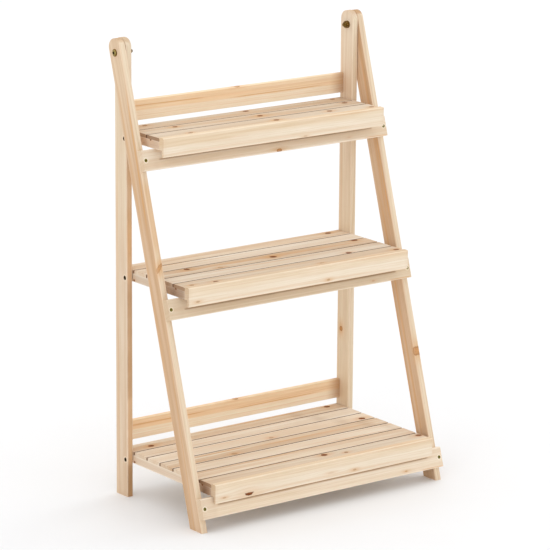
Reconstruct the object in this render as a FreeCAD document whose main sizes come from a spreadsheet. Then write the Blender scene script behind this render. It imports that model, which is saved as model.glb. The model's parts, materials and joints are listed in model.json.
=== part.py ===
import FreeCAD, Part
import os
import Sketcher
import PartDesign
from FreeCAD import Vector, Rotation, Placement

# Three-tier folding plant stand in pale softwood.
# Frame: X along the shelves, +Y to the back, +Z up, origin on the floor at the
# middle of the footprint. All lengths are in millimetres.
#
# A back frame (two upright legs, two rails) carries everything. A front frame
# (two leaning legs, three rails screwed to their front edges) turns on the two
# bolts at the top. Each shelf (slats on two bearers, with an apron whose lip
# hooks over the front rail) turns on two bolts near the rear edge.

os.makedirs("parts", exist_ok=True)
doc = FreeCAD.newDocument("plant_stand")

# ---------------------------------------------------------------- dimensions
sheet = doc.addObject("Spreadsheet::Sheet", "dims")
sheet.Label = "dims"
SIZES = [
    # whole stand
    ("outer_half", 300.0),        # centre plane to the outer face of a front leg
    ("rear_face", 160.23),        # rear face of the back legs, in front of the origin
    ("stand_height", 928.0),
    ("lean", 16.77),              # front legs from the vertical, degrees
    # legs
    ("front_leg_thick", 13.5),
    ("front_leg_wide", 39.0),
    ("leg_gap", 1.0),             # between a front leg and the back leg beside it
    ("back_leg_thick", 13.0),
    ("back_leg_deep", 40.0),
    ("leg_corner", 18.0),         # rounding of the leg tops
    ("pivot_setback", 23.0),      # top bolt, in front of the rear face
    ("pivot_high", 900.0),
    ("leg_over_pivot", 28.0),
    ("ease", 1.6),                # eased long edges
    # back rails
    ("back_rail_thick", 9.0),
    ("back_rail_tall", 41.0),
    ("back_rail_setback", 1.9),   # rear face of the rail, in front of the leg's rear face
    ("upper_rail_bottom", 757.5),
    ("lower_rail_bottom", 107.5),
    ("dowel_radius", 2.5),
    ("dowel_in_leg", 9.0),
    ("dowel_in_rail", 19.0),
    ("dowel_spread", 11.0),       # from the rail's middle line to each dowel
    # front rails
    ("front_rail_thick", 14.5),
    ("front_rail_tall", 41.0),
    ("top_rail_down", 216.3),     # pivot to rail middle, along the leg
    ("middle_rail_down", 508.4),
    ("bottom_rail_down", 899.0),
    ("screw_inset", 6.75),
    ("screw_radius", 2.0),
    ("screw_head_radius", 3.5),
    ("screw_head_tall", 2.2),
    ("screw_in_leg", 25.5),
    # shelves
    ("shelf_half", 271.5),        # centre plane to the ends of slats and aprons
    ("top_shelf_high", 747.7),    # upper edge of the apron
    ("middle_shelf_high", 468.0),
    ("bottom_shelf_high", 94.0),
    ("top_shelf_deep", 145.4),
    ("middle_shelf_deep", 230.0),
    ("bottom_shelf_deep", 319.0),
    ("apron_proud", 1.5),         # apron edge above the slats
    ("apron_thick", 14.0),
    ("apron_tall", 38.3),
    ("apron_body_tall", 25.0),    # part of the apron behind which the bearers end
    ("lip_thick", 5.5),           # the lip that hooks over the front rail
    ("slat_thick", 7.0),
    ("slat_wide", 42.0),
    ("slat_pitch", 44.6),
    ("slat_round", 2.2),
    ("bearer_wide", 18.0),
    ("bearer_tall", 16.5),
    ("bearer_round", 8.0),
    ("shelf_pivot_setback", 32.0),
    ("shelf_pivot_drop", 17.5),   # below the apron's upper edge
    ("pin_radius", 1.5),
    ("pin_in_slat", 4.5),
    ("pin_recess", 0.5),
    ("apron_dowel_radius", 3.0),
    ("apron_dowel_in_apron", 9.0),
    ("apron_dowel_in_bearer", 14.0),
    # top bolts
    ("bolt_radius", 4.0),
    ("bolt_bore_radius", 4.06),
    ("bolt_head_radius", 7.5),
    ("bolt_head_tall", 3.2),
    ("bolt_head_gap", 0.3),
    ("bolt_end", 12.5),           # past the inner face of the back leg
    ("socket_across", 2.5),
    ("socket_deep", 2.0),
    ("spacer_radius", 9.0),
    ("spacer_thick", 0.7),
    ("washer_radius", 7.6),
    ("washer_thick", 1.5),
    ("nut_corner", 7.5),
    ("nut_tall", 6.0),
    # shelf bolts
    ("peg_radius", 3.0),
    ("peg_bore_radius", 3.06),
    ("peg_leg_bore_radius", 3.1),
    ("peg_head_radius", 4.5),
    ("peg_head_tall", 3.0),
    ("peg_recess_radius", 4.8),
    ("peg_recess_deep", 3.5),
    ("peg_spacer_radius", 7.0),
    ("peg_nut_corner", 5.77),
    ("peg_nut_tall", 5.0),
    ("peg_nut_gap", 0.3),
    ("peg_end", 2.0),
]
V = {}
for row, (alias, value) in enumerate(SIZES, start=1):
    sheet.set("A%d" % row, alias)
    sheet.set("B%d" % row, repr(value))
    sheet.setAlias("B%d" % row, alias)
    V[alias] = value
doc.recompute()

D = "dims."
INNER = "(dims.outer_half - dims.front_leg_thick - dims.leg_gap - dims.back_leg_thick)"
BACK_OUT = "(dims.outer_half - dims.front_leg_thick - dims.leg_gap)"
FRONT_IN = "(dims.outer_half - dims.front_leg_thick)"
PIVOT_Y = "(dims.rear_face - dims.pivot_setback)"

NODES = []


# ------------------------------------------------------------------- helpers
def new_body(label):
    b = doc.addObject("PartDesign::Body", label)
    b.Label = label
    NODES.append(b)
    return b


def place(obj, x=None, y=None, z=None, rot=None):
    if rot is not None:
        obj.Placement = Placement(Vector(0, 0, 0), rot)
    for axis, expr in (("x", x), ("y", y), ("z", z)):
        if expr is not None:
            obj.setExpression("Placement.Base." + axis, expr)


def origin_plane(b, role):
    for f in b.Origin.OriginFeatures:
        if f.Role == role:
            return f
    raise RuntimeError("no plane " + role)


def new_sketch(b, name, role, offset=None):
    sk = b.newObject("Sketcher::SketchObject", name)
    sk.AttachmentSupport = [(origin_plane(b, role), "")]
    sk.MapMode = "FlatFace"
    if offset is not None:
        sk.setExpression(".AttachmentOffset.Base.z", offset)
    return sk


def bind(sk, index, name, expr):
    sk.renameConstraint(index, name)
    sk.setExpression("Constraints." + name, expr)


def rect(sk, x0, y0, wide, tall, tag=""):
    """Rectangle with its lower left corner at (x0, y0); four bound sizes."""
    n = sk.GeometryCount
    L = Part.LineSegment
    guess = [(0, 0), (10, 0), (10, 10), (0, 10)]
    for i in range(4):
        a, c = guess[i], guess[(i + 1) % 4]
        sk.addGeometry(L(Vector(a[0], a[1], 0), Vector(c[0], c[1], 0)), False)
    C = Sketcher.Constraint
    for i in range(4):
        sk.addConstraint(C("Coincident", n + i, 2, n + (i + 1) % 4, 1))
    for i in (0, 2):
        sk.addConstraint(C("Horizontal", n + i))
    for i in (1, 3):
        sk.addConstraint(C("Vertical", n + i))
    k = sk.addConstraint(C("DistanceX", n, 1, n, 2, 10.0))
    bind(sk, k, "wide" + tag, wide)
    k = sk.addConstraint(C("DistanceY", n + 1, 1, n + 1, 2, 10.0))
    bind(sk, k, "tall" + tag, tall)
    k = sk.addConstraint(C("DistanceX", -1, 1, n, 1, 1.0))
    bind(sk, k, "left" + tag, x0)
    k = sk.addConstraint(C("DistanceY", -1, 1, n, 1, 1.0))
    bind(sk, k, "low" + tag, y0)


def circle(sk, x, y, radius, tag=""):
    n = sk.addGeometry(Part.Circle(Vector(1, 1, 0), Vector(0, 0, 1), 2.0), False)
    C = Sketcher.Constraint
    k = sk.addConstraint(C("Radius", n, 2.0))
    bind(sk, k, "radius" + tag, radius)
    k = sk.addConstraint(C("DistanceX", -1, 1, n, 3, 1.0))
    bind(sk, k, "across" + tag, x)
    k = sk.addConstraint(C("DistanceY", -1, 1, n, 3, 1.0))
    bind(sk, k, "up" + tag, y)


def pad(b, sk, name, length, reverse=False, middle=False):
    p = b.newObject("PartDesign::Pad", name)
    p.Profile = sk
    p.setExpression("Length", length)
    p.Reversed = reverse
    if middle:
        p.SideType = "Symmetric" if hasattr(p, "SideType") else p.SideType
    doc.recompute()
    return p


def pocket(b, sk, name, depth, reverse=False):
    """A pocket that must take material away; its volume is compared."""
    before = b.Shape.Volume
    p = b.newObject("PartDesign::Pocket", name)
    p.Profile = sk
    p.setExpression("Length", depth)
    p.Reversed = reverse
    doc.recompute()
    after = p.Shape.Volume
    if not after < before - 0.5:
        raise RuntimeError("%s: %s cut nothing" % (b.Label, name))
    return p


def edge_names(shape, test):
    out = []
    for i, e in enumerate(shape.Edges, start=1):
        if test(e):
            out.append("Edge%d" % i)
    return out


def round_edges(b, name, radius, test):
    base = b.Tip
    picked = edge_names(base.Shape, test)
    if not picked:
        raise RuntimeError("%s: %s found no edge" % (b.Label, name))
    f = b.newObject("PartDesign::Fillet", name)
    f.Base = (base, picked)
    f.setExpression("Radius", radius)
    doc.recompute()
    return f


def straight_along(e, axis, least=0.0):
    if e.Curve.TypeId != "Part::GeomLine":
        return False
    d = e.Curve.Direction
    return abs(getattr(d, axis)) > 0.999 and e.Length >= least


# ------------------------------------------------------------------ back legs
SHELVES = [
    # name, slats, upper edge, depth
    ("top", 3, "dims.top_shelf_high", "dims.top_shelf_deep"),
    ("middle", 5, "dims.middle_shelf_high", "dims.middle_shelf_deep"),
    ("bottom", 7, "dims.bottom_shelf_high", "dims.bottom_shelf_deep"),
]
RAIL_Y = "(-dims.back_rail_setback - dims.back_rail_thick / 2)"

for side, word in ((-1, "left"), (1, "right")):
    out = side > 0
    b = new_body("back_leg_" + word)
    place(b, "%d * %s" % (side, INNER), "dims.rear_face", None)
    sk = new_sketch(b, "outline_" + b.Name, "YZ_Plane")
    rect(sk, "-dims.back_leg_deep", "0", "dims.back_leg_deep", "dims.stand_height")
    pad(b, sk, "post_" + b.Name, "dims.back_leg_thick", reverse=not out)
    top = V["stand_height"]
    round_edges(b, "crown_" + b.Name, "dims.leg_corner",
                lambda e: straight_along(e, "x") and e.BoundBox.ZMin > top - 1)
    thick = V["back_leg_thick"]
    low = 0.5
    round_edges(b, "easing_" + b.Name, "dims.ease",
                lambda e: e.BoundBox.XLength < 0.01 and e.BoundBox.ZMax > low)
    sk = new_sketch(b, "bolt_hole_" + b.Name, "YZ_Plane")
    circle(sk, "-dims.pivot_setback", "dims.pivot_high", "dims.bolt_bore_radius")
    pocket(b, sk, "bolt_bore_" + b.Name, "dims.back_leg_thick", reverse=out)
    sk = new_sketch(b, "shelf_holes_" + b.Name, "YZ_Plane")
    for i, (name, count, high, deep) in enumerate(SHELVES):
        circle(sk, "-dims.shelf_pivot_setback", high + " - dims.shelf_pivot_drop",
               "dims.peg_leg_bore_radius", str(i))
    pocket(b, sk, "shelf_bores_" + b.Name, "dims.back_leg_thick", reverse=out)
    sk = new_sketch(b, "head_holes_" + b.Name, "YZ_Plane", "%d * dims.back_leg_thick" % side)
    for i, (name, count, high, deep) in enumerate(SHELVES):
        circle(sk, "-dims.shelf_pivot_setback", high + " - dims.shelf_pivot_drop",
               "dims.peg_recess_radius", str(i))
    pocket(b, sk, "head_recesses_" + b.Name, "dims.peg_recess_deep", reverse=not out)
    sk = new_sketch(b, "dowel_holes_" + b.Name, "YZ_Plane")
    k = 0
    for low_z in ("dims.upper_rail_bottom", "dims.lower_rail_bottom"):
        for sign in ("-", "+"):
            circle(sk, RAIL_Y, "%s + dims.back_rail_tall / 2 %s dims.dowel_spread" % (low_z, sign),
                   "dims.dowel_radius", str(k))
            k += 1
    pocket(b, sk, "dowel_bores_" + b.Name, "dims.dowel_in_leg", reverse=out)

# ------------------------------------------------- back rails, with dowel bores
for word, low_z in (("upper", "dims.upper_rail_bottom"), ("lower", "dims.lower_rail_bottom")):
    b = new_body("back_rail_" + word)
    place(b, "-" + INNER, "dims.rear_face - dims.back_rail_setback", low_z)
    sk = new_sketch(b, "section_" + b.Name, "YZ_Plane")
    rect(sk, "-dims.back_rail_thick", "0", "dims.back_rail_thick", "dims.back_rail_tall")
    pad(b, sk, "bar_" + b.Name, "2 * " + INNER)
    round_edges(b, "easing_" + b.Name, "dims.ease", lambda e: straight_along(e, "x", 100))
    for end, offset, rev in (("left", "0", True), ("right", "2 * " + INNER, False)):
        sk = new_sketch(b, "dowel_holes_%s_%s" % (end, b.Name), "YZ_Plane", offset)
        for k, sign in enumerate(("-", "+")):
            circle(sk, "-dims.back_rail_thick / 2", "dims.back_rail_tall / 2 %s dims.dowel_spread" % sign,
                   "dims.dowel_radius", str(k))
        pocket(b, sk, "dowel_bores_%s_%s" % (end, b.Name), "dims.dowel_in_rail", reverse=rev)

# ----------------------------------------------------------------- front legs
LEAN = Rotation(Vector(1, 0, 0), -V["lean"])
RAILS = [
    ("top", "dims.top_rail_down"),
    ("middle", "dims.middle_rail_down"),
    ("bottom", "dims.bottom_rail_down"),
]


def lean_angle(obj):
    obj.setExpression("Placement.Rotation.Angle", "dims.lean * 1deg")


for side, word in ((-1, "left"), (1, "right")):
    out = side > 0
    b = new_body("front_leg_" + word)
    place(b, "%d * %s" % (side, FRONT_IN), PIVOT_Y, "dims.pivot_high",
          Rotation(Vector(-1, 0, 0), V["lean"]))
    lean_angle(b)
    # side view in the leg's own frame: the pivot is the origin, the foot is
    # cut along the floor
    sk = new_sketch(b, "outline_" + b.Name, "YZ_Plane")
    C = Sketcher.Constraint
    pts = [(-19, -940), (19, -930), (19, 28), (-19, 28)]
    for i in range(4):
        a, c = pts[i], pts[(i + 1) % 4]
        sk.addGeometry(Part.LineSegment(Vector(a[0], a[1], 0), Vector(c[0], c[1], 0)), False)
    for i in range(4):
        sk.addConstraint(C("Coincident", i, 2, (i + 1) % 4, 1))
    sk.addConstraint(C("Vertical", 1))
    sk.addConstraint(C("Vertical", 3))
    sk.addConstraint(C("Horizontal", 2))
    k = sk.addConstraint(C("DistanceX", 0, 1, -1, 1, 19.0))
    bind(sk, k, "half_front", "dims.front_leg_wide / 2")
    k = sk.addConstraint(C("DistanceX", -1, 1, 0, 2, 19.0))
    bind(sk, k, "half_rear", "dims.front_leg_wide / 2")
    k = sk.addConstraint(C("DistanceY", -1, 1, 2, 1, 28.0))
    bind(sk, k, "over", "dims.leg_over_pivot")
    k = sk.addConstraint(C("DistanceY", 0, 1, -1, 1, 940.0))
    bind(sk, k, "toe", "(dims.pivot_high + dims.front_leg_wide / 2 * sin(dims.lean)) / cos(dims.lean)")
    k = sk.addConstraint(C("DistanceY", 0, 2, -1, 1, 930.0))
    bind(sk, k, "heel", "(dims.pivot_high - dims.front_leg_wide / 2 * sin(dims.lean)) / cos(dims.lean)")
    pad(b, sk, "post_" + b.Name, "dims.front_leg_thick", reverse=not out)
    over = V["leg_over_pivot"]
    round_edges(b, "crown_" + b.Name, "dims.leg_corner",
                lambda e: straight_along(e, "x") and e.BoundBox.ZMin > over - 1)
    round_edges(b, "easing_" + b.Name, "dims.ease",
                lambda e: e.BoundBox.XLength < 0.01 and e.BoundBox.ZMax > -900)
    sk = new_sketch(b, "bolt_hole_" + b.Name, "YZ_Plane")
    circle(sk, "0", "0", "dims.bolt_bore_radius")
    pocket(b, sk, "bolt_bore_" + b.Name, "dims.front_leg_thick", reverse=out)
    # pilot holes for the rail screws, from the front edge
    sk = new_sketch(b, "pilot_holes_" + b.Name, "XZ_Plane", "dims.front_leg_wide / 2")
    for i, (name, down) in enumerate(RAILS):
        circle(sk, "%d * dims.screw_inset" % side, "-" + down, "dims.screw_radius", str(i))
    pocket(b, sk, "pilots_" + b.Name, "dims.screw_in_leg", reverse=False)

# ---------------------------------------------------------------- front rails
LEAN_Y = "(-%s * sin(dims.lean) - dims.front_leg_wide / 2 * cos(dims.lean))"
LEAN_Z = "(-%s * cos(dims.lean) + dims.front_leg_wide / 2 * sin(dims.lean))"
for name, down in RAILS:
    b = new_body("front_rail_" + name)
    place(b, None, PIVOT_Y + " + " + LEAN_Y % down, "dims.pivot_high + " + LEAN_Z % down,
          Rotation(Vector(-1, 0, 0), V["lean"]))
    lean_angle(b)
    sk = new_sketch(b, "face_" + b.Name, "XZ_Plane")
    rect(sk, "-dims.outer_half", "-dims.front_rail_tall / 2", "2 * dims.outer_half",
         "dims.front_rail_tall")
    pad(b, sk, "bar_" + b.Name, "dims.front_rail_thick")
    round_edges(b, "easing_" + b.Name, "dims.ease", lambda e: straight_along(e, "x", 100))
    sk = new_sketch(b, "screw_holes_" + b.Name, "XZ_Plane", "dims.front_rail_thick")
    for k, sign in enumerate((-1, 1)):
        circle(sk, "%d * (dims.outer_half - dims.screw_inset)" % sign, "0",
               "dims.screw_radius + 0.2", str(k))
    pocket(b, sk, "screw_bores_" + b.Name, "dims.front_rail_thick")
    sk = new_sketch(b, "head_holes_" + b.Name, "XZ_Plane", "dims.front_rail_thick")
    for k, sign in enumerate((-1, 1)):
        circle(sk, "%d * (dims.outer_half - dims.screw_inset)" % sign, "0",
               "dims.screw_head_radius + 0.2", str(k))
    pocket(b, sk, "head_recesses_" + b.Name, "dims.screw_head_tall + 0.3")

# -------------------------------------------------------------------- shelves
# Local frame of a shelf piece: Y measured from the rear face of the back legs,
# Z from the apron's upper edge.
SLAT_TOP = "(-dims.apron_proud)"
SLAT_LOW = "(-dims.apron_proud - dims.slat_thick)"
BEARER_LOW = "(-dims.apron_body_tall)"
BEARER_MID_X = "(dims.shelf_half - dims.bearer_wide / 2)"

for name, count, high, deep in SHELVES:
    for i in range(count):
        b = new_body("%s_slat_%d" % (name, i + 1))
        rear = "(-%d * dims.slat_pitch)" % i
        wide = "dims.slat_wide"
        if i == count - 1:
            wide = "(%s - dims.apron_thick - %d * dims.slat_pitch)" % (deep, i)
        place(b, "-dims.shelf_half", "dims.rear_face + " + rear, high + " + " + SLAT_LOW)
        sk = new_sketch(b, "section_" + b.Name, "YZ_Plane")
        rect(sk, "-" + wide, "0", wide, "dims.slat_thick")
        pad(b, sk, "board_" + b.Name, "2 * dims.shelf_half")
        round_edges(b, "crown_" + b.Name, "dims.slat_round",
                    lambda e: straight_along(e, "x", 100) and e.BoundBox.ZMin > V["slat_thick"] - 0.01)
        sk = new_sketch(b, "pin_holes_" + b.Name, "XY_Plane")
        for k, x in enumerate(("dims.bearer_wide / 2", "2 * dims.shelf_half - dims.bearer_wide / 2")):
            circle(sk, x, "-%s / 2" % wide, "dims.pin_radius", str(k))
        pocket(b, sk, "pin_bores_" + b.Name, "dims.pin_in_slat", reverse=True)

    for side, word in ((-1, "left"), (1, "right")):
        out = side > 0
        b = new_body("%s_bearer_%s" % (name, word))
        place(b, "%d * dims.shelf_half" % side, "dims.rear_face", high + " + " + BEARER_LOW)
        run = "(%s - dims.apron_thick)" % deep
        sk = new_sketch(b, "outline_" + b.Name, "YZ_Plane")
        rect(sk, "-" + run, "0", run, "dims.bearer_tall")
        pad(b, sk, "bar_" + b.Name, "dims.bearer_wide", reverse=out)
        round_edges(b, "heel_" + b.Name, "dims.bearer_round",
                    lambda e: straight_along(e, "x") and e.BoundBox.YMin > -0.01 and e.BoundBox.ZMax < 0.01)
        sk = new_sketch(b, "pivot_hole_" + b.Name, "YZ_Plane")
        circle(sk, "-dims.shelf_pivot_setback", "dims.apron_body_tall - dims.shelf_pivot_drop",
               "dims.peg_bore_radius")
        pocket(b, sk, "pivot_bore_" + b.Name, "dims.bearer_wide", reverse=not out)
        sk = new_sketch(b, "pin_holes_" + b.Name, "XY_Plane")
        for i in range(count):
            wide = "dims.slat_wide"
            if i == count - 1:
                wide = "(%s - dims.apron_thick - %d * dims.slat_pitch)" % (deep, i)
            circle(sk, "%d * dims.bearer_wide / 2" % -side,
                   "-%d * dims.slat_pitch - %s / 2" % (i, wide), "dims.pin_radius", str(i))
        pocket(b, sk, "pin_bores_" + b.Name, "dims.bearer_tall", reverse=True)
        sk = new_sketch(b, "dowel_hole_" + b.Name, "XZ_Plane", run)
        circle(sk, "%d * dims.bearer_wide / 2" % -side, "dims.bearer_tall / 2",
               "dims.apron_dowel_radius")
        pocket(b, sk, "dowel_bore_" + b.Name, "dims.apron_dowel_in_bearer")

    # apron: a board with a thinner lip below, which hooks over the front rail
    b = new_body(name + "_apron")
    place(b, "-dims.shelf_half", "dims.rear_face - " + deep, high)
    sk = new_sketch(b, "section_" + b.Name, "YZ_Plane")
    C = Sketcher.Constraint
    pts = [(0, -38), (5, -38), (5, -25), (14, -25), (14, 0), (0, 0)]
    for i in range(6):
        a, c = pts[i], pts[(i + 1) % 6]
        sk.addGeometry(Part.LineSegment(Vector(a[0], a[1], 0), Vector(c[0], c[1], 0)), False)
    for i in range(6):
        sk.addConstraint(C("Coincident", i, 2, (i + 1) % 6, 1))
    for i in (0, 2, 4):
        sk.addConstraint(C("Horizontal", i))
    for i in (1, 3, 5):
        sk.addConstraint(C("Vertical", i))
    sk.addConstraint(C("Coincident", 4, 2, -1, 1))
    k = sk.addConstraint(C("DistanceX", 0, 1, 0, 2, 5.0))
    bind(sk, k, "lip", "dims.lip_thick")
    k = sk.addConstraint(C("DistanceX", 4, 2, 4, 1, 14.0))
    bind(sk, k, "thick", "dims.apron_thick")
    k = sk.addConstraint(C("DistanceY", 5, 2, 5, 1, 38.0))
    bind(sk, k, "tall", "dims.apron_tall")
    k = sk.addConstraint(C("DistanceY", 3, 1, 3, 2, 25.0))
    bind(sk, k, "body_tall", "dims.apron_body_tall")
    pad(b, sk, "board_" + b.Name, "2 * dims.shelf_half")
    round_edges(b, "easing_" + b.Name, "dims.ease",
                lambda e: straight_along(e, "x", 100) and not
                (4 < e.BoundBox.YMin < 15 and -26 < e.BoundBox.ZMin < -24))
    sk = new_sketch(b, "dowel_holes_" + b.Name, "XZ_Plane", "-dims.apron_thick")
    for k, x in enumerate(("dims.bearer_wide / 2", "2 * dims.shelf_half - dims.bearer_wide / 2")):
        circle(sk, x, "-dims.apron_body_tall + dims.bearer_tall / 2", "dims.apron_dowel_radius", str(k))
    pocket(b, sk, "dowel_bores_" + b.Name, "dims.apron_dowel_in_apron", reverse=True)


# ------------------------------------------------------------------ fasteners
ALONG_X = Rotation(Vector(0, 1, 0), 90)
ALONG_LEFT = Rotation(Vector(0, 1, 0), -90)


def solid(kind, name, rot, x, y, z, **sizes):
    o = doc.addObject("Part::" + kind, name)
    for prop, value in sizes.items():
        if isinstance(value, str):
            o.setExpression(prop, value)
        else:
            setattr(o, prop, value)
    place(o, x, y, z, rot)
    return o


def fuse(name, shapes):
    o = doc.addObject("Part::MultiFuse", name)
    o.Shapes = shapes
    o.Refine = True
    return o


def cut(name, base, tool):
    o = doc.addObject("Part::Cut", name)
    o.Base = base
    o.Tool = tool
    return o


def group(label, members):
    o = doc.addObject("Part::Compound", label)
    o.Links = members
    o.Label = label
    NODES.append(o)
    doc.recompute()
    return o


PEG_Y = "dims.rear_face - dims.shelf_pivot_setback"
heads, spacers, washers, nuts = [], [], [], []
pegs, peg_spacers, peg_nuts = [], [], []
for side, word, rot in ((-1, "left", ALONG_X), (1, "right", ALONG_LEFT)):
    def at(expr):
        return "%d * (%s)" % (side, expr)
    # top bolt: domed head outside the front leg, shank, end inside the back leg
    head_x = "dims.outer_half + dims.bolt_head_gap"
    inward = rot
    outward = ALONG_LEFT if side < 0 else ALONG_X
    shank = solid("Cylinder", "bolt_shank_" + word, inward, at(head_x), PIVOT_Y, "dims.pivot_high",
                  Radius="dims.bolt_radius",
                  Height="%s - %s + dims.bolt_end - 1" % (head_x, INNER))
    tip = solid("Cone", "bolt_tip_" + word, inward, at(INNER + " - dims.bolt_end + 1"), PIVOT_Y,
                "dims.pivot_high", Radius1="dims.bolt_radius", Radius2="dims.bolt_radius - 1",
                Height="1")
    rim = solid("Cylinder", "bolt_rim_" + word, outward, at(head_x), PIVOT_Y, "dims.pivot_high",
                Radius="dims.bolt_head_radius", Height="1.2")
    dome = solid("Cone", "bolt_dome_" + word, outward, at(head_x + " + 1.2"), PIVOT_Y,
                 "dims.pivot_high", Radius1="dims.bolt_head_radius", Radius2="dims.bolt_head_radius - 2.6",
                 Height="dims.bolt_head_tall - 1.2")
    whole = fuse("bolt_whole_" + word, [shank, tip, rim, dome])
    socket = doc.addObject("Part::Prism", "bolt_socket_" + word)
    socket.Polygon = 6
    socket.setExpression("Circumradius", "dims.socket_across")
    socket.setExpression("Height", "dims.socket_deep + 1")
    place(socket, at(head_x + " + dims.bolt_head_tall - dims.socket_deep"), PIVOT_Y,
          "dims.pivot_high", outward)
    heads.append(cut("bolt_" + word, whole, socket))
    # spacer between the legs, washer and nut on the inner face
    disc = solid("Cylinder", "spacer_disc_" + word, outward, at(BACK_OUT), PIVOT_Y, "dims.pivot_high",
                 Radius="dims.spacer_radius", Height="dims.spacer_thick")
    bore = solid("Cylinder", "spacer_bore_" + word, outward, at(BACK_OUT + " - 1"), PIVOT_Y,
                 "dims.pivot_high", Radius="dims.bolt_bore_radius", Height="dims.spacer_thick + 2")
    spacers.append(cut("spacer_" + word, disc, bore))
    disc = solid("Cylinder", "washer_disc_" + word, inward, at(INNER), PIVOT_Y, "dims.pivot_high",
                 Radius="dims.washer_radius", Height="dims.washer_thick")
    bore = solid("Cylinder", "washer_bore_" + word, inward, at(INNER + " + 1"), PIVOT_Y,
                 "dims.pivot_high", Radius="dims.bolt_bore_radius", Height="dims.washer_thick + 2")
    washers.append(cut("washer_" + word, disc, bore))
    hexa = doc.addObject("Part::Prism", "nut_hexagon_" + word)
    hexa.Polygon = 6
    hexa.setExpression("Circumradius", "dims.nut_corner")
    hexa.setExpression("Height", "dims.nut_tall")
    place(hexa, at(INNER + " - dims.washer_thick"), PIVOT_Y, "dims.pivot_high", inward)
    bore = solid("Cylinder", "nut_bore_" + word, inward, at(INNER + " - dims.washer_thick + 1"), PIVOT_Y,
                 "dims.pivot_high", Radius="dims.bolt_bore_radius", Height="dims.nut_tall + 2")
    nuts.append(cut("nut_" + word, hexa, bore))
    # shelf bolts: flush head in the back leg, shank through the bearer, nut inside
    for name, count, high, deep in SHELVES:
        tag = "%s_%s" % (name, word)
        pz = high + " - dims.shelf_pivot_drop"
        hx = BACK_OUT + " - dims.peg_recess_deep"
        bearer_in = "(dims.shelf_half - dims.bearer_wide)"
        head = solid("Cylinder", "peg_head_" + tag, outward, at(hx), PEG_Y, pz,
                     Radius="dims.peg_head_radius", Height="dims.peg_head_tall")
        slot = doc.addObject("Part::Prism", "peg_socket_" + tag)
        slot.Polygon = 6
        slot.Circumradius = 2.3
        slot.Height = 3
        place(slot, at(hx + " + dims.peg_head_tall - 1.8"), PEG_Y, pz, outward)
        shank = solid("Cylinder", "peg_shank_" + tag, inward, at(hx + " + 0.5"), PEG_Y, pz,
                      Radius="dims.peg_radius",
                      Height="%s + 0.5 - %s + dims.peg_nut_gap + dims.peg_nut_tall + dims.peg_end" % (hx, bearer_in))
        pegs.append(cut("peg_" + tag, fuse("peg_whole_" + tag, [head, shank]), slot))
        disc = solid("Cylinder", "peg_spacer_disc_" + tag, inward, at(INNER), PEG_Y, pz,
                     Radius="dims.peg_spacer_radius", Height="dims.spacer_thick")
        bore = solid("Cylinder", "peg_spacer_bore_" + tag, inward, at(INNER + " + 1"), PEG_Y, pz,
                     Radius="dims.peg_leg_bore_radius", Height="dims.spacer_thick + 2")
        peg_spacers.append(cut("peg_spacer_" + tag, disc, bore))
        hexa = doc.addObject("Part::Prism", "peg_nut_hexagon_" + tag)
        hexa.Polygon = 6
        hexa.setExpression("Circumradius", "dims.peg_nut_corner")
        hexa.setExpression("Height", "dims.peg_nut_tall")
        place(hexa, at(bearer_in + " - dims.peg_nut_gap"), PEG_Y, pz, inward)
        bore = solid("Cylinder", "peg_nut_bore_" + tag, inward, at(bearer_in + " - dims.peg_nut_gap + 1"),
                     PEG_Y, pz, Radius="dims.peg_radius", Height="dims.peg_nut_tall + 2")
        peg_nuts.append(cut("peg_nut_" + tag, hexa, bore))

group("top_bolts", heads)
group("leg_spacers", spacers)
group("top_bolt_washers", washers)
group("top_bolt_nuts", nuts)
group("shelf_pivot_bolts", pegs)
group("shelf_pivot_spacers", peg_spacers)
group("shelf_pivot_nuts", peg_nuts)

# dowels between the back rails and the back legs
dowels = []
for side, word, rot in ((-1, "left", ALONG_X), (1, "right", ALONG_LEFT)):
    for level, low_z in (("upper", "dims.upper_rail_bottom"), ("lower", "dims.lower_rail_bottom")):
        for k, sign in enumerate(("-", "+")):
            dowels.append(solid(
                "Cylinder", "dowel_%s_%s_%d" % (word, level, k), rot,
                "%d * (%s + dims.dowel_in_leg)" % (side, INNER),
                "dims.rear_face + " + RAIL_Y,
                "%s + dims.back_rail_tall / 2 %s dims.dowel_spread" % (low_z, sign),
                Radius="dims.dowel_radius", Height="dims.dowel_in_leg + dims.dowel_in_rail"))
group("back_rail_dowels", dowels)

# countersunk screws through the front rails into the front legs
screws = []
FACE = "(dims.front_leg_wide / 2 + dims.front_rail_thick - 0.3)"
IN_Z = Rotation(Vector(-1, 0, 0), V["lean"]).multiply(Rotation(Vector(1, 0, 0), -90))
for name, down in RAILS:
    for side, word in ((-1, "left"), (1, "right")):
        tag = "%s_%s" % (name, word)
        x = "%d * (dims.outer_half - dims.screw_inset)" % side

        def along(depth):
            # a point on the screw's axis, depth behind the head's face
            return ("%s + (-%s * sin(dims.lean) - (%s - %s) * cos(dims.lean))" % (PIVOT_Y, down, FACE, depth),
                    "dims.pivot_high + (-%s * cos(dims.lean) + (%s - %s) * sin(dims.lean))" % (down, FACE, depth))
        y0, z0 = along("0")
        y1, z1 = along("dims.screw_head_tall")
        head = solid("Cone", "screw_head_" + tag, IN_Z, x, y0, z0,
                     Radius1="dims.screw_head_radius", Radius2="dims.screw_radius",
                     Height="dims.screw_head_tall")
        shank = solid("Cylinder", "screw_shank_" + tag, IN_Z, x, y1, z1, Radius="dims.screw_radius",
                      Height="%s - dims.screw_head_tall - dims.front_leg_wide / 2 + dims.screw_in_leg" % FACE)
        whole = fuse("screw_whole_" + tag, [head, shank])
        arm = doc.addObject("Part::Prism", "screw_drive_" + tag)
        arm.Polygon = 4
        arm.Circumradius = 1.7
        arm.Height = 2.4
        ya, za = along("-1")
        place(arm, x, ya, za, IN_Z)
        screws.append(cut("screw_" + tag, whole, arm))
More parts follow.
